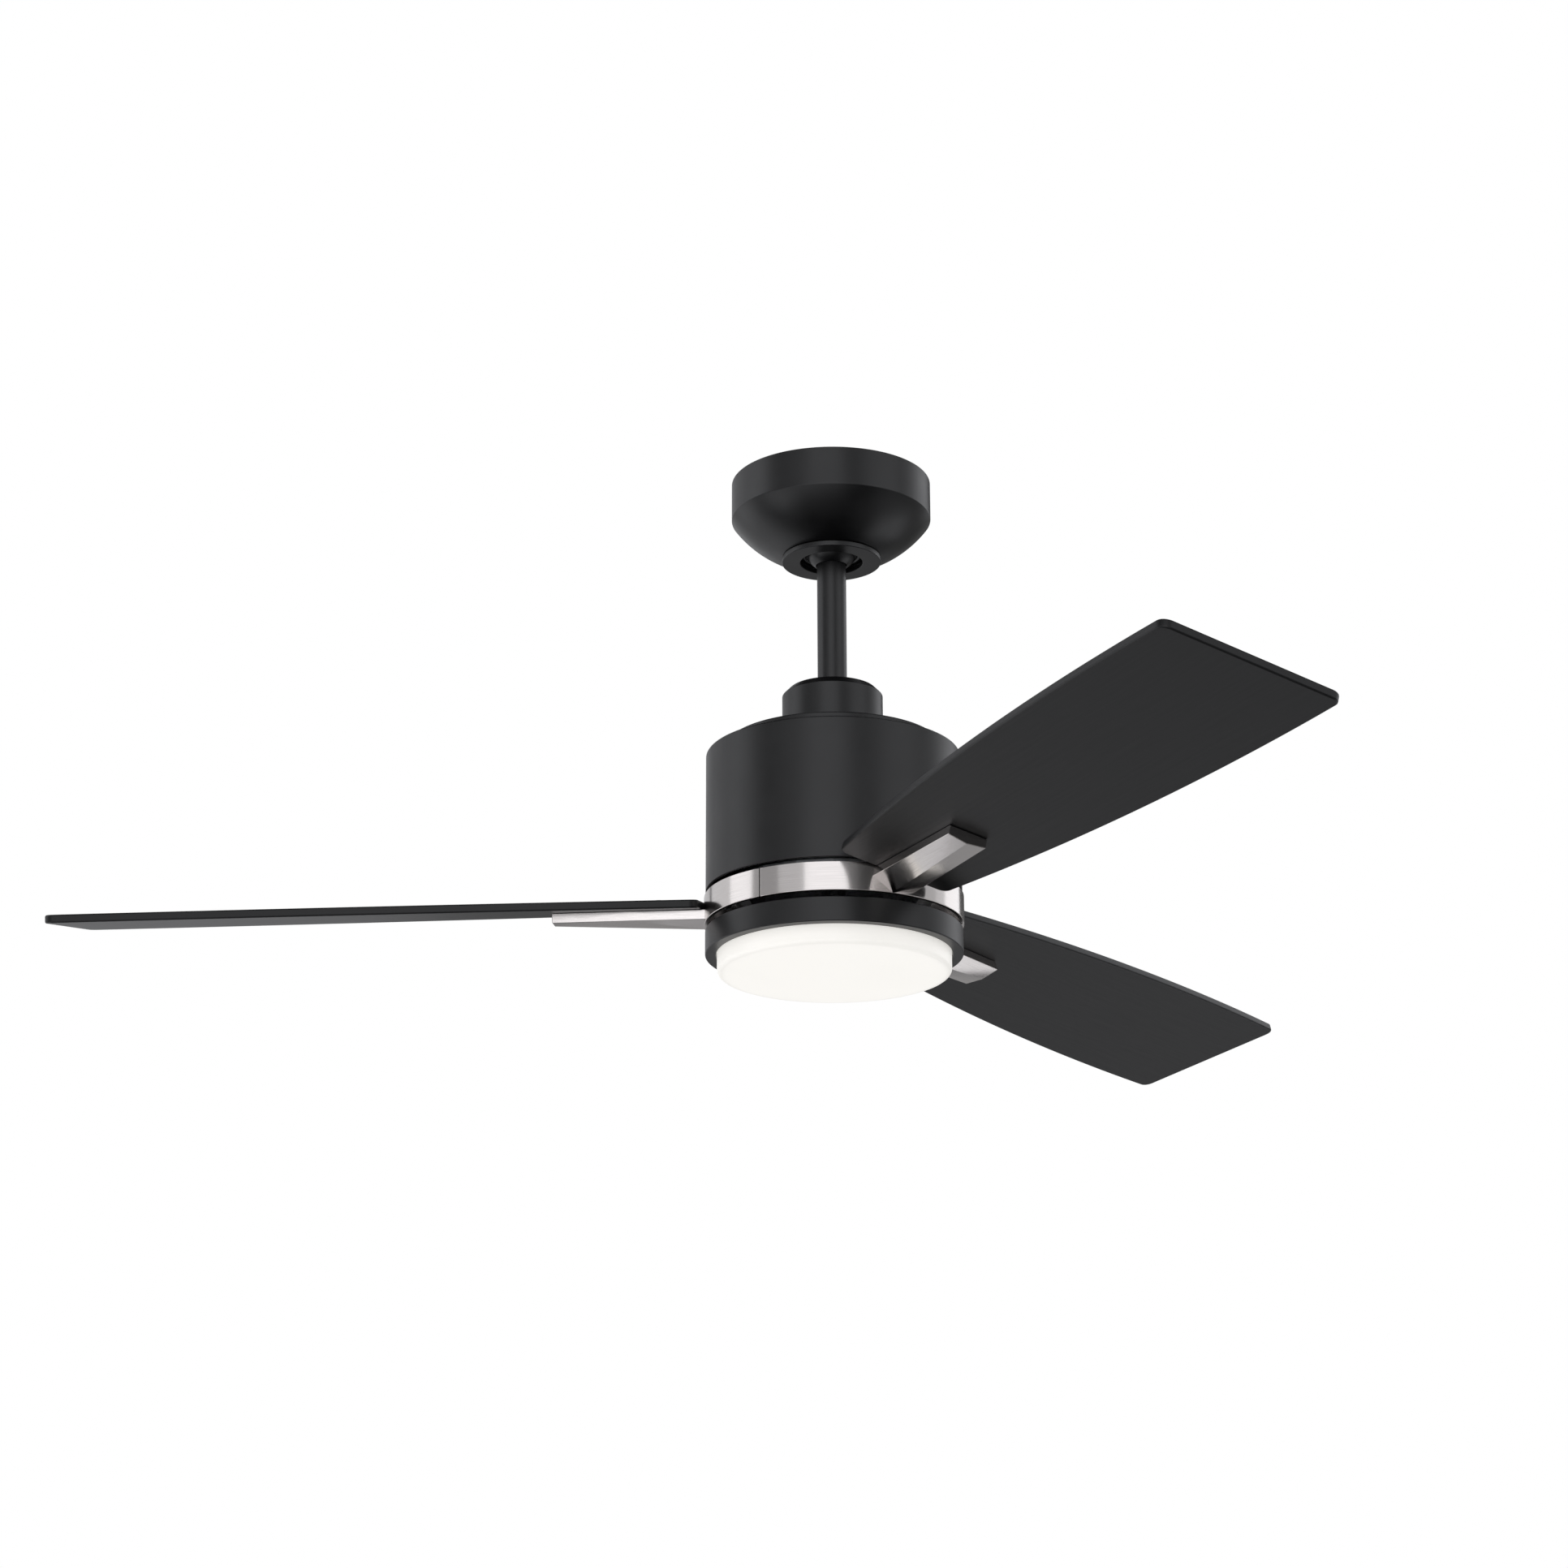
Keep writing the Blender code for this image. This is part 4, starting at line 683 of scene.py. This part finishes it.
@dataclass
class Hanger:
    """The ball that hangs in the bracket's seat, its nylon liner and the downrod."""

    ball_radius: float = 0.0216
    ball_top: float = 0.0110
    liner: float = 0.0014
    liner_edges: Point = (-0.0030, -0.0110)      # from the ball's centre
    rod_bore: float = 0.0083
    rod_top: float = -0.0351
    rod_bottom: float = -0.1970
    pin_radius: float = 0.0030
    cross_pin_z: float = -0.0392
    clevis_pin_z: float = -0.1870
    set_screw_z: float = -0.0500

    def arc(self, radius: float, start: float, end: float, steps: int) -> list[Corner]:
        """Points of an arc round the ball's centre, by elevation."""
        angles = [start + (end - start) * i / steps for i in range(steps + 1)]
        return [(radius * math.cos(a), PIVOT_Z + radius * math.sin(a), 0) for a in angles]

    def build(self) -> None:
        """Make the liner, the ball with its slot and screw hole, and the drilled rod."""
        inner = self.ball_radius + 0.00035
        outer = inner + self.liner
        high, low = (math.asin(edge / outer) for edge in self.liner_edges)
        liner = turned("ball_liner", self.arc(outer, high, low, 6) + self.arc(inner, low, high, 6))
        fit(smoothed(liner), "seat_liner", NYLON, "ball_seat_liner")
        bore = ROD_RADIUS + GAP
        top = math.asin(self.ball_top / self.ball_radius)
        bottom = -math.acos((bore + 0.0006) / self.ball_radius)
        ball = turned("hanger_ball_casting", self.arc(self.ball_radius, top, bottom, 40) + [
            (bore, PIVOT_Z + self.ball_radius * math.sin(bottom) + 0.0005, 0.0002),
            (bore, PIVOT_Z + self.ball_top, 0)])
        half = self.pin_radius + 0.0004
        low = self.cross_pin_z - self.pin_radius - GAP
        slot = lofted("slot", [[(x, -half, low), (x, half, low), (x, half, 0.0), (x, -half, 0.0)]
                               for x in (-0.03, 0.03)])
        screw_z = self.set_screw_z
        combined(ball, [slot, cylinder((0, -0.006, screw_z), (0, -0.030, screw_z), SCREW_HOLE)], "DIFFERENCE")
        fit(smoothed(ball), "hanging_fan", SATIN_BLACK, "hanger_ball")
        rod = turned("downrod_pipe", [
            (ROD_RADIUS, self.rod_top, 0.0005), (ROD_RADIUS, self.rod_bottom, 0.0005),
            (self.rod_bore, self.rod_bottom, 0.0004), (self.rod_bore, self.rod_top, 0.0004)], ROD_SIDES)
        combined(rod, [cylinder((-0.02, 0, z), (0.02, 0, z), self.pin_radius + GAP)
                       for z in (self.cross_pin_z, self.clevis_pin_z)], "DIFFERENCE")
        fit(smoothed(rod), "hanging_fan", SATIN_BLACK, "downrod")


@dataclass
class CouplingCover:
    """The cup that slides down the rod over the coupling."""

    radius: float = 0.03658
    top: float = -0.16145
    bottom: float = -0.2039
    chamfer: Point = (0.0051, 0.0052)
    sheet: float = 0.0015

    def build(self) -> None:
        """Spin the cup with its chamfered shoulder."""
        across, down = self.chamfer
        inner = self.radius - self.sheet
        hole = ROD_RADIUS + 0.0009
        cup = turned("coupling_cup", [
            (self.radius, self.bottom, 0.0004), (self.radius, self.top - down, 0.0009),
            (self.radius - across, self.top, 0.0012), (hole, self.top, 0.0003),
            (hole, self.top - self.sheet, 0.0003),
            (self.radius - across - 0.4 * self.sheet, self.top - self.sheet, 0.0005),
            (inner, self.top - down - 0.4 * self.sheet, 0.0005), (inner, self.bottom, 0.0004)])
        fit(smoothed(cup), "cover", SATIN_BLACK, "coupling_cover")


@dataclass
class Coupling:
    """The steel yoke that the rod is pinned in, under the cover."""

    radius: float = 0.0175
    top: float = -0.1760
    flange_radius: float = 0.0360
    flange: Point = (-0.20665, -0.2115)
    throat_radius: float = 0.0088
    seat_z: float = -0.1973
    pin_z: float = -0.1870
    pin_radius: float = 0.0030
    set_screw_z: float = -0.1805

    def build(self) -> None:
        """Turn the yoke and drill it for its pin and screws."""
        bore = ROD_RADIUS + GAP
        top, bottom = self.flange
        yoke = turned("coupling_yoke", [
            (self.radius, self.top, 0.0010), (self.radius, top, 0.0012), (self.flange_radius, top, 0.0004),
            (self.flange_radius, bottom, 0.0004), (self.throat_radius, bottom, 0.0003),
            (self.throat_radius, self.seat_z, 0.0003), (bore, self.seat_z, 0.0002), (bore, self.top, 0.0005),
        ], ROD_SIDES)
        cutters = [cylinder((-0.03, 0, self.pin_z), (0.03, 0, self.pin_z), self.pin_radius + GAP),
                   cylinder((0, -0.006, self.set_screw_z), (0, -0.030, self.set_screw_z), SCREW_HOLE)]
        places = [polar(HOUSING_SCREW_RADIUS, a) for a in HOUSING_SCREW_AZIMUTHS]
        cutters += drills(places, bottom - 0.001, top + 0.001)
        fit(smoothed(combined(yoke, cutters, "DIFFERENCE")), "hanging_fan", ZINC, "motor_yoke")


# ---------------------------------------------------------------- motor housing and light
@dataclass
class MotorHousing:
    """The drawn steel drum over the motor, with a raised crown."""

    radius: float = 0.09182
    crown_radius: float = 0.0782
    crown_z: float = -0.2043
    rim_z: float = -0.2121
    bottom: float = -0.3153
    wall: float = 0.0020
    centre_radius: float = 0.0180

    def build(self) -> None:
        """Make the drum and its two screws."""
        crown_inner = self.crown_radius - self.wall
        inner = self.radius - self.wall
        drum = turned("housing_drum", [
            (self.radius, self.bottom, 0.0007), (self.radius, self.rim_z, 0.0013),
            (self.crown_radius, self.rim_z, 0.0006), (self.crown_radius, self.crown_z, 0.0012),
            (self.centre_radius, self.crown_z, 0.0004),
            (self.centre_radius, self.crown_z - self.wall, 0.0004),
            (crown_inner, self.crown_z - self.wall, 0.0004), (crown_inner, self.rim_z - self.wall, 0.0004),
            (inner, self.rim_z - self.wall, 0.0004), (inner, self.bottom, 0.0007)])
        places = [polar(HOUSING_SCREW_RADIUS, a) for a in HOUSING_SCREW_AZIMUTHS]
        combined(drum, drills(places, self.crown_z - 0.004, self.crown_z + 0.002), "DIFFERENCE")
        fit(smoothed(drum), "hanging_fan", SATIN_BLACK, "motor_housing")
        for i, place in enumerate(places, 1):
            seat = Matrix.Translation((place.x, place.y, self.crown_z + GAP))
            PanScrew(0.0036, 0.0020, 0.0019, 0.0064).drive(
                f"housing_fixing_{i}", seat, "hanging_fan", ZINC, f"housing_screw_{i}")


@dataclass
class LightKit:
    """The black pan under the ring and the opal lens that twists into it."""

    pan_radius: float = 0.09208
    pan_top: float = -0.3438
    pan_bottom: float = -0.3616
    pan_hole_radius: float = 0.0842
    pan_throat: float = 0.0170
    pan_screw_radius: float = 0.0380
    pan_screw_azimuths: Point = (math.radians(-90), math.radians(150))
    sheet: float = 0.0015
    lens_radius: float = 0.08359
    neck_radius: float = 0.0810
    lens_top: float = -0.3546
    shoulder_z: float = -0.3592
    lens_bottom: float = -0.3749
    lens_corner: float = 0.0032
    lens_wall: float = 0.0025
    tab_radius: float = 0.0834
    tab_height: float = 0.0023

    def build(self) -> None:
        """Make the pan, then the lens with its three tabs."""
        inner = self.pan_radius - self.sheet
        pan = turned("light_pan_ring", [
            (self.pan_radius, self.pan_bottom, 0.0009), (self.pan_radius, self.pan_top, 0.0009),
            (self.pan_throat, self.pan_top, 0.0003), (self.pan_throat, self.pan_top - self.sheet, 0.0003),
            (inner, self.pan_top - self.sheet, 0.0006), (inner, self.pan_bottom + self.sheet, 0.0003),
            (self.pan_hole_radius, self.pan_bottom + self.sheet, 0.0003),
            (self.pan_hole_radius, self.pan_bottom, 0.0005)])
        places = [polar(self.pan_screw_radius, a) for a in self.pan_screw_azimuths]
        combined(pan, drills(places, self.pan_top - 0.003, self.pan_top + 0.001), "DIFFERENCE")
        fit(smoothed(pan), "hanging_fan", SATIN_BLACK, "light_pan")
        inside = self.lens_radius - self.lens_wall
        neck_inside = self.neck_radius - self.lens_wall
        floor = self.lens_bottom + self.lens_wall
        lens = turned("opal_lens_dish", [
            (self.neck_radius, self.lens_top, 0.0003), (self.neck_radius, self.shoulder_z, 0.0002),
            (self.lens_radius, self.shoulder_z, 0.0008),
            (self.lens_radius, self.lens_bottom, self.lens_corner),
            (0.0, self.lens_bottom, 0), (0.0, floor, 0), (inside, floor, 0.0015),
            (inside, self.shoulder_z - 0.0023, 0.0005), (neck_inside, self.shoulder_z, 0.0005),
            (neck_inside, self.lens_top, 0.0003)])
        combined(lens, [self.tab(math.radians(30 + 120 * k)) for k in range(3)], "UNION")
        fit(smoothed(lens), "lens", OPAL, "lens")

    def tab(self, azimuth: float) -> Object:
        """One bayonet tab, a short piece of ring on the lens's neck."""
        half, steps = math.radians(6), 6
        near, far = self.neck_radius - 0.0012, self.tab_radius
        high, low = self.lens_top - 0.0001, self.lens_top - self.tab_height
        sections = []
        for i in range(steps + 1):
            angle = azimuth - half + 2 * half * i / steps
            corners = ((near, low), (far, low), (far, high), (near, high))
            sections.append([polar(r, angle, z) for r, z in corners])
        return lofted("tab", sections)


# ---------------------------------------------------------------- what turns
@dataclass
class BladeArm:
    """A third of the nickel ring with its blade arm, made pointing along +X and then turned into place."""

    ring_radius: float = 0.0929
    ring_wall: float = 0.0030
    ring_top: float = -0.3190
    ring_bottom: float = -0.3397
    seam_half_angle: float = math.radians(0.26)
    flange_radius: float = 0.0700
    flange: float = 0.0035
    edge: float = 0.00045            # the small bevel that catches the light along each edge
    root_x: float = 0.0902
    end_x: float = 0.2010
    side: float = 0.0070
    root: tuple[float, float, float] = (0.0032, 0.0168, 0.0140)
    end: tuple[float, float, float] = (0.0022, 0.0144, 0.0090)
    ring_screw_radius: float = 0.0770

    def ring_third(self) -> Object:
        """Sweep the ring's section through a third of a turn, with rounded ends at its seams."""
        inner = self.ring_radius - self.ring_wall
        section = softened([
            (self.flange_radius, self.ring_top - self.flange, 0),
            (inner, self.ring_top - self.flange, 0.0003),
            (inner, self.ring_bottom, self.edge), (self.ring_radius, self.ring_bottom, self.edge),
            (self.ring_radius, self.ring_top, self.edge), (self.flange_radius, self.ring_top, 0)])
        half = math.pi / BLADE_COUNT - self.seam_half_angle
        ends = [(step_in, back / self.ring_radius) for step_in, back in quarter_round(self.edge, 3)]
        rounding = ends[-1][1]
        stations = [(step_in, -half + back) for step_in, back in ends]
        stations += [(0.0, (-half + rounding) + (2 * half - 2 * rounding) * i / 60) for i in range(1, 60)]
        stations += [(step_in, half - back) for step_in, back in reversed(ends)]
        sections = [[polar(r, angle, z) for r, z in (inset(section, step_in) if step_in else section)]
                    for step_in, angle in stations]
        return lofted("ring", sections)

    def bar_section(self, share: float, step_in: float) -> list[Point]:
        """The arm's section as (y, z) points, a share of the way from its root to its end."""
        middle, half, ridge = (a + (b - a) * share for a, b in zip(self.root, self.end))
        points = softened([
            (middle - half, -GAP, 0.0003), (middle - half, -self.side, self.edge),
            (middle, -ridge, self.edge * 1.6), (middle + half, -self.side, self.edge),
            (middle + half, -GAP, 0.0003)])
        return inset(points, step_in) if step_in else points

    def bar(self) -> Object:
        """Loft the arm from inside the ring's wall to its rounded end."""
        stations = [(0.0, self.root_x), (0.0, (self.root_x + self.end_x) / 2)]
        stations += [(back, self.end_x - step) for step, back in quarter_round(self.edge, 4)]
        sections = []
        for step_in, x in stations:
            share = (x - self.root_x) / (self.end_x - self.root_x)
            sections.append([(x, y, z) for y, z in self.bar_section(share, step_in)])
        made = lofted("bar", sections)
        made.data.transform(pitched())
        return made

    def build(self, k: int) -> None:
        """Join the third of the ring to its arm, drill it, and turn it to blade k."""
        piece = self.ring_third()
        piece.name = f"ring_and_arm_{k + 1}"
        combined(piece, [self.bar()], "UNION")
        cutters = drills(BLADE_SCREW_PLACES, -0.0062, 0.0030, 0.0024)
        for cutter in cutters:
            cutter.data.transform(pitched())
        cutters += drills([(self.ring_screw_radius, 0)], self.ring_top - 0.0060, self.ring_top + 0.0020,
                          0.0025)
        combined(piece, cutters, "DIFFERENCE")
        piece.data.materials.clear()
        piece.data.materials.append(NICKEL_ROUND.material())
        piece.data.materials.append(NICKEL_ALONG.material())
        for face in piece.data.polygons:
            middle = face.center
            face.material_index = 1 if math.hypot(middle.x, middle.y) > self.ring_radius + 0.0004 else 0
        smoothed(piece, math.radians(30))
        piece.matrix_world = Matrix.Rotation(blade_azimuth(k), 4, "Z")
        fit(piece, "rotor", NICKEL_ROUND, f"blade_arm_{k + 1}")
        place = polar(self.ring_screw_radius, blade_azimuth(k), self.ring_top - self.flange - GAP)
        seat = Matrix.Translation(place) @ HEAD_DOWN
        PanScrew(0.0038, 0.0022, 0.0021, 0.0066).drive(
            f"ring_fixing_{k + 1}", seat, "rotor", ZINC, f"arm_screw_{k + 1}")


@dataclass
class Blade:
    """A flat blade with long curved edges, cut from fibreboard and wrapped in black foil."""

    root_radius: float = 0.0935
    half_widths: tuple[float, float, float] = (0.0424, 0.0613, 0.06325)
    shift: float = -0.0008
    corner: float = 0.0075
    corner_reach: float = 0.022      # no point but the corner itself this near to an end, so it can be round
    thickness: float = 0.0060
    edge: float = 0.0014

    def half_width(self, x: float) -> float:
        """The half width at a distance from the axis, on the parabola through the three given widths."""
        root, middle, tip = self.half_widths
        t = (x - self.root_radius) / (SWEEP_RADIUS - self.root_radius)
        return root * (1 - t) * (1 - 2 * t) + middle * 4 * t * (1 - t) + tip * t * (2 * t - 1)

    def outline(self, steps: int = 48) -> list[Point]:
        """The blade's outline, counter-clockwise, with its four corners rounded."""
        along = [self.root_radius + (SWEEP_RADIUS - self.root_radius) * i / steps for i in range(steps + 1)]
        rounding = [self.corner if i in (0, steps) else 0.0 for i in range(steps + 1)]
        low = [(x, self.shift - self.half_width(x), r) for x, r in zip(along, rounding)]
        high = [(x, self.shift + self.half_width(x), r) for x, r in zip(along, rounding)]
        return softened([(x, y, r) for x, y, r in low + high[::-1]
                         if r or min(x - self.root_radius, SWEEP_RADIUS - x) > self.corner_reach])

    def build(self, k: int) -> None:
        """Make the board with its rounded edges and holes, then its three screws."""
        outline = self.outline()
        levels = quarter_round(self.edge, 5)
        levels += [(step_in, self.thickness - z) for step_in, z in reversed(levels)]
        sections = [[(x, y, z) for x, y in inset(outline, step_in)] for step_in, z in levels]
        board = lofted(f"blade_board_{k + 1}", sections)
        combined(board, drills(BLADE_SCREW_PLACES, -0.002, self.thickness + 0.002, 0.0026), "DIFFERENCE")
        place = Matrix.Rotation(blade_azimuth(k), 4, "Z") @ pitched()
        smoothed(board).matrix_world = place
        fit(board, "rotor", MATT_FOIL, f"blade_{k + 1}")
        for i, (x, y) in enumerate(BLADE_SCREW_PLACES, 1):
            # each screw stopped at its own angle
            seat = place @ Matrix.Translation((x, y, self.thickness + GAP)) @ Matrix.Rotation(0.5 * i, 4, "Z")
            PanScrew(0.0042, 0.0013, 0.0021, 0.0118).drive(
                f"blade_{k + 1}_fixing_{i}", seat, "rotor", OXIDE, f"blade_{k + 1}_screw_{i}")


# ---------------------------------------------------------------- solids that keep their shape
class KeptSolids:
    """The bracket, the motor's inside and the other solids that are right as they are."""

    def dress(self, frame: dict[str, Any]) -> None:
        """Give every solid the finish of its material slot."""
        finishes = {finish.slot: finish for finish in FINISHES}
        slots = {entry["node"]: entry["material_slot"] for entry in frame["record"]["subparts"]}
        for name, obj in frame["nodes"].items():
            finish = finishes[slots[name]]
            obj.data.materials.clear()
            obj.data.materials.append(finish.material())
            log.info("%s keeps its shape, in %s", name, finish.name)


# ---------------------------------------------------------------- studio
@dataclass(frozen=True)
class SoftPanel:
    """A large soft light panel that stands round the fan and faces it. Its angles are in degrees."""

    azimuth: float
    elevation: float
    width: float
    height: float
    glow: float
    distance: float = 6.0
    colour: str = "#fafbff"

    def build(self, name: str, centre: Vector) -> None:
        """Stand the panel at its distance from the centre, sized to fill its angles."""
        azimuth, elevation = math.radians(self.azimuth), math.radians(self.elevation)
        out = polar(math.cos(elevation), azimuth, math.sin(elevation))
        data = bpy.data.lights.new(name, "AREA")
        data.shape = "RECTANGLE"
        data.size = 2 * self.distance * math.cos(elevation) * math.tan(math.radians(self.width / 2))
        data.size_y = 2 * self.distance * math.tan(math.radians(self.height / 2))
        data.energy = self.glow * data.size * data.size_y * math.pi
        data.color = linear(self.colour)[:3]
        light = bpy.data.objects.new(name, data)
        light.location = centre + out * self.distance
        light.rotation_euler = out.to_track_quat("Z", "Y").to_euler()
        light.visible_camera = False
        bpy.context.scene.collection.objects.link(light)


def row(elevation: float, height: float, *panels: Corner) -> tuple[SoftPanel, ...]:
    """A row of panels at one elevation, each given by its azimuth, width and glow."""
    return tuple(SoftPanel(azimuth, elevation, width, height, glow) for azimuth, width, glow in panels)


@dataclass
class Studio:
    """A pale floor far below, soft panels round the fan, a dim room, and the camera."""

    floor_z: float = -3.9
    floor_radius: float = 14.0
    aim: tuple[float, float, float] = (0.0, 0.0, -0.25)
    camera_place: tuple[float, float, float] = (0.0, -2.5239, -1.0583)
    camera_pitch: float = math.radians(18.115)
    camera_turn: float = math.radians(-0.805)
    camera_roll: float = math.radians(-0.18)
    camera_lens: float = 84.38
    panels: tuple[SoftPanel, ...] = (
        # a high row gives the upright walls their bands
        *row(18, 44, (180, 28, 1.20), (149, 34, 0.68), (-153, 26, 0.30), (-128, 24, 0.55),
             (-96, 40, 1.22), (-63, 26, 0.38), (-30, 40, 1.02), (0, 20, 0.45), (17, 14, 0.65),
             (40, 32, 1.25), (113, 30, 0.55)),
        # a row just below eye level is for the arms
        *row(-15, 22, (-120, 30, 1.25), (-90, 30, 1.60), (-45, 45, 0.35), (90, 42, 0.14),
             (120, 30, 0.40), (150, 30, 1.00)),
        # a low row lights the undersides, its lower half hidden by the floor
        *row(-40, 28, (180, 45, 1.40), (-135, 45, 0.80), (-90, 45, 0.80), (0, 45, 0.40),
             (45, 45, 1.05), (90, 45, 0.38), (135, 45, 0.75)),
        # a pair overhead lights the upper sides
        *row(72, 34, (45, 45, 1.10), (-135, 45, 1.10)),
    )
    # how bright the room is from straight down to straight up
    room: tuple[Point, ...] = (
        (0.0, 0.25), (0.12, 0.0), (0.25, 0.02), (0.35, 0.22),
        (0.45, 0.04), (0.55, 0.28), (0.67, 0.02), (1.0, 0.0))

    def floor(self) -> None:
        """Lay a pale round floor, evenly lit, which sheds no light of its own on the fan."""
        bm = bmesh.new()
        loops = [[bm.verts.new((0, 0, self.floor_z))]]
        for share in (0.25, 0.5, 0.75, 1.0):
            radius = self.floor_radius * share
            loops.append([bm.verts.new(polar(radius, 2 * math.pi * i / 96, self.floor_z)) for i in range(96)])
        skin_loops(bm, loops, closed=False)
        ground = new_object("pale_floor", bm)
        paint = bpy.data.materials.new("pale_studio_floor")
        paint.use_nodes = True
        surface = paint.node_tree.nodes["Principled BSDF"]
        surface.inputs["Base Color"].default_value = linear("#000000")
        surface.inputs["Roughness"].default_value = 1.0
        surface.inputs["Specular IOR Level"].default_value = 0.0
        surface.inputs["Emission Color"].default_value = linear("#f2f1ef")
        surface.inputs["Emission Strength"].default_value = 0.9
        ground.data.materials.append(paint)
        ground.visible_glossy = False
        ground.visible_diffuse = False

    def lights(self) -> None:
        """Stand the panels round the fan."""
        for i, panel in enumerate(self.panels, 1):
            panel.build(f"panel_{i}", Vector(self.aim))

    def surroundings(self) -> None:
        """A white background, and a dim room that is darker below and overhead than at the horizon."""
        world = bpy.data.worlds.new("studio")
        bpy.context.scene.world = world
        world.use_nodes = True
        tree = world.node_tree
        tree.nodes.clear()
        way = add_node(tree, "ShaderNodeTexCoord").outputs["Generated"]
        height = add_node(tree, "ShaderNodeSeparateXYZ", {"Vector": way}).outputs["Z"]
        share = add_node(tree, "ShaderNodeMapRange", {
            "Value": height, "From Min": -1.0, "From Max": 1.0, "To Min": 0.0, "To Max": 1.0})
        ramp = add_node(tree, "ShaderNodeValToRGB", {"Fac": share.outputs["Result"]})
        stops = ramp.color_ramp.elements
        for stop, (position, level) in ((stops[0], self.room[0]), (stops[1], self.room[-1])):
            stop.position = position
            stop.color = (level, level, level, 1)
        for position, level in self.room[1:-1]:
            stops.new(position).color = (level, level, level, 1)
        room = add_node(tree, "ShaderNodeBackground", {"Color": ramp.outputs["Color"], "Strength": 1.0})
        backdrop = add_node(tree, "ShaderNodeBackground", {"Color": (1, 1, 1, 1), "Strength": 1.0})
        seen = add_node(tree, "ShaderNodeLightPath").outputs["Is Camera Ray"]
        mixed = add_node(tree, "ShaderNodeMixShader", {0: seen, 1: room.outputs[0], 2: backdrop.outputs[0]})
        add_node(tree, "ShaderNodeOutputWorld", {"Surface": mixed.outputs[0]})

    def camera(self) -> None:
        """Place the camera below the fan and in front of it, looking up."""
        data = bpy.data.cameras.new("camera")
        data.lens = self.camera_lens
        data.sensor_width = 36
        data.clip_start, data.clip_end = 0.05, 100
        camera = bpy.data.objects.new("camera", data)
        pitch, turn = self.camera_pitch, self.camera_turn
        ahead = Vector((math.sin(turn) * math.cos(pitch), math.cos(turn) * math.cos(pitch), math.sin(pitch)))
        right = Vector((math.cos(turn), -math.sin(turn), 0))
        up = right.cross(ahead)
        c, s = math.cos(self.camera_roll), math.sin(self.camera_roll)
        right, up = right * c + up * s, up * c - right * s
        turned_to = Matrix((right, up, -ahead)).transposed().to_4x4()
        camera.matrix_world = Matrix.Translation(self.camera_place) @ turned_to
        bpy.context.scene.collection.objects.link(camera)
        bpy.context.scene.camera = camera

    def build(self) -> None:
        """Set the camera, the floor, the lights and the plain view transform."""
        self.camera()
        self.floor()
        self.lights()
        self.surroundings()
        bpy.context.scene.view_settings.view_transform = "Standard"


def main() -> None:
    """Build the fan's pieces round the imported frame."""
    logging.basicConfig(level=logging.INFO, format="%(name)s: %(message)s")
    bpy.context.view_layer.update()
    Studio().build()
    KeptSolids().dress(frame)
    for assembly in (Canopy(), Hanger(), CouplingCover(), Coupling(), MotorHousing(), LightKit()):
        assembly.build()
    arm, blade = BladeArm(), Blade()
    for k in range(BLADE_COUNT):
        arm.build(k)
        blade.build(k)
    bpy.context.view_layer.update()


if __name__ == "__main__":
    main()
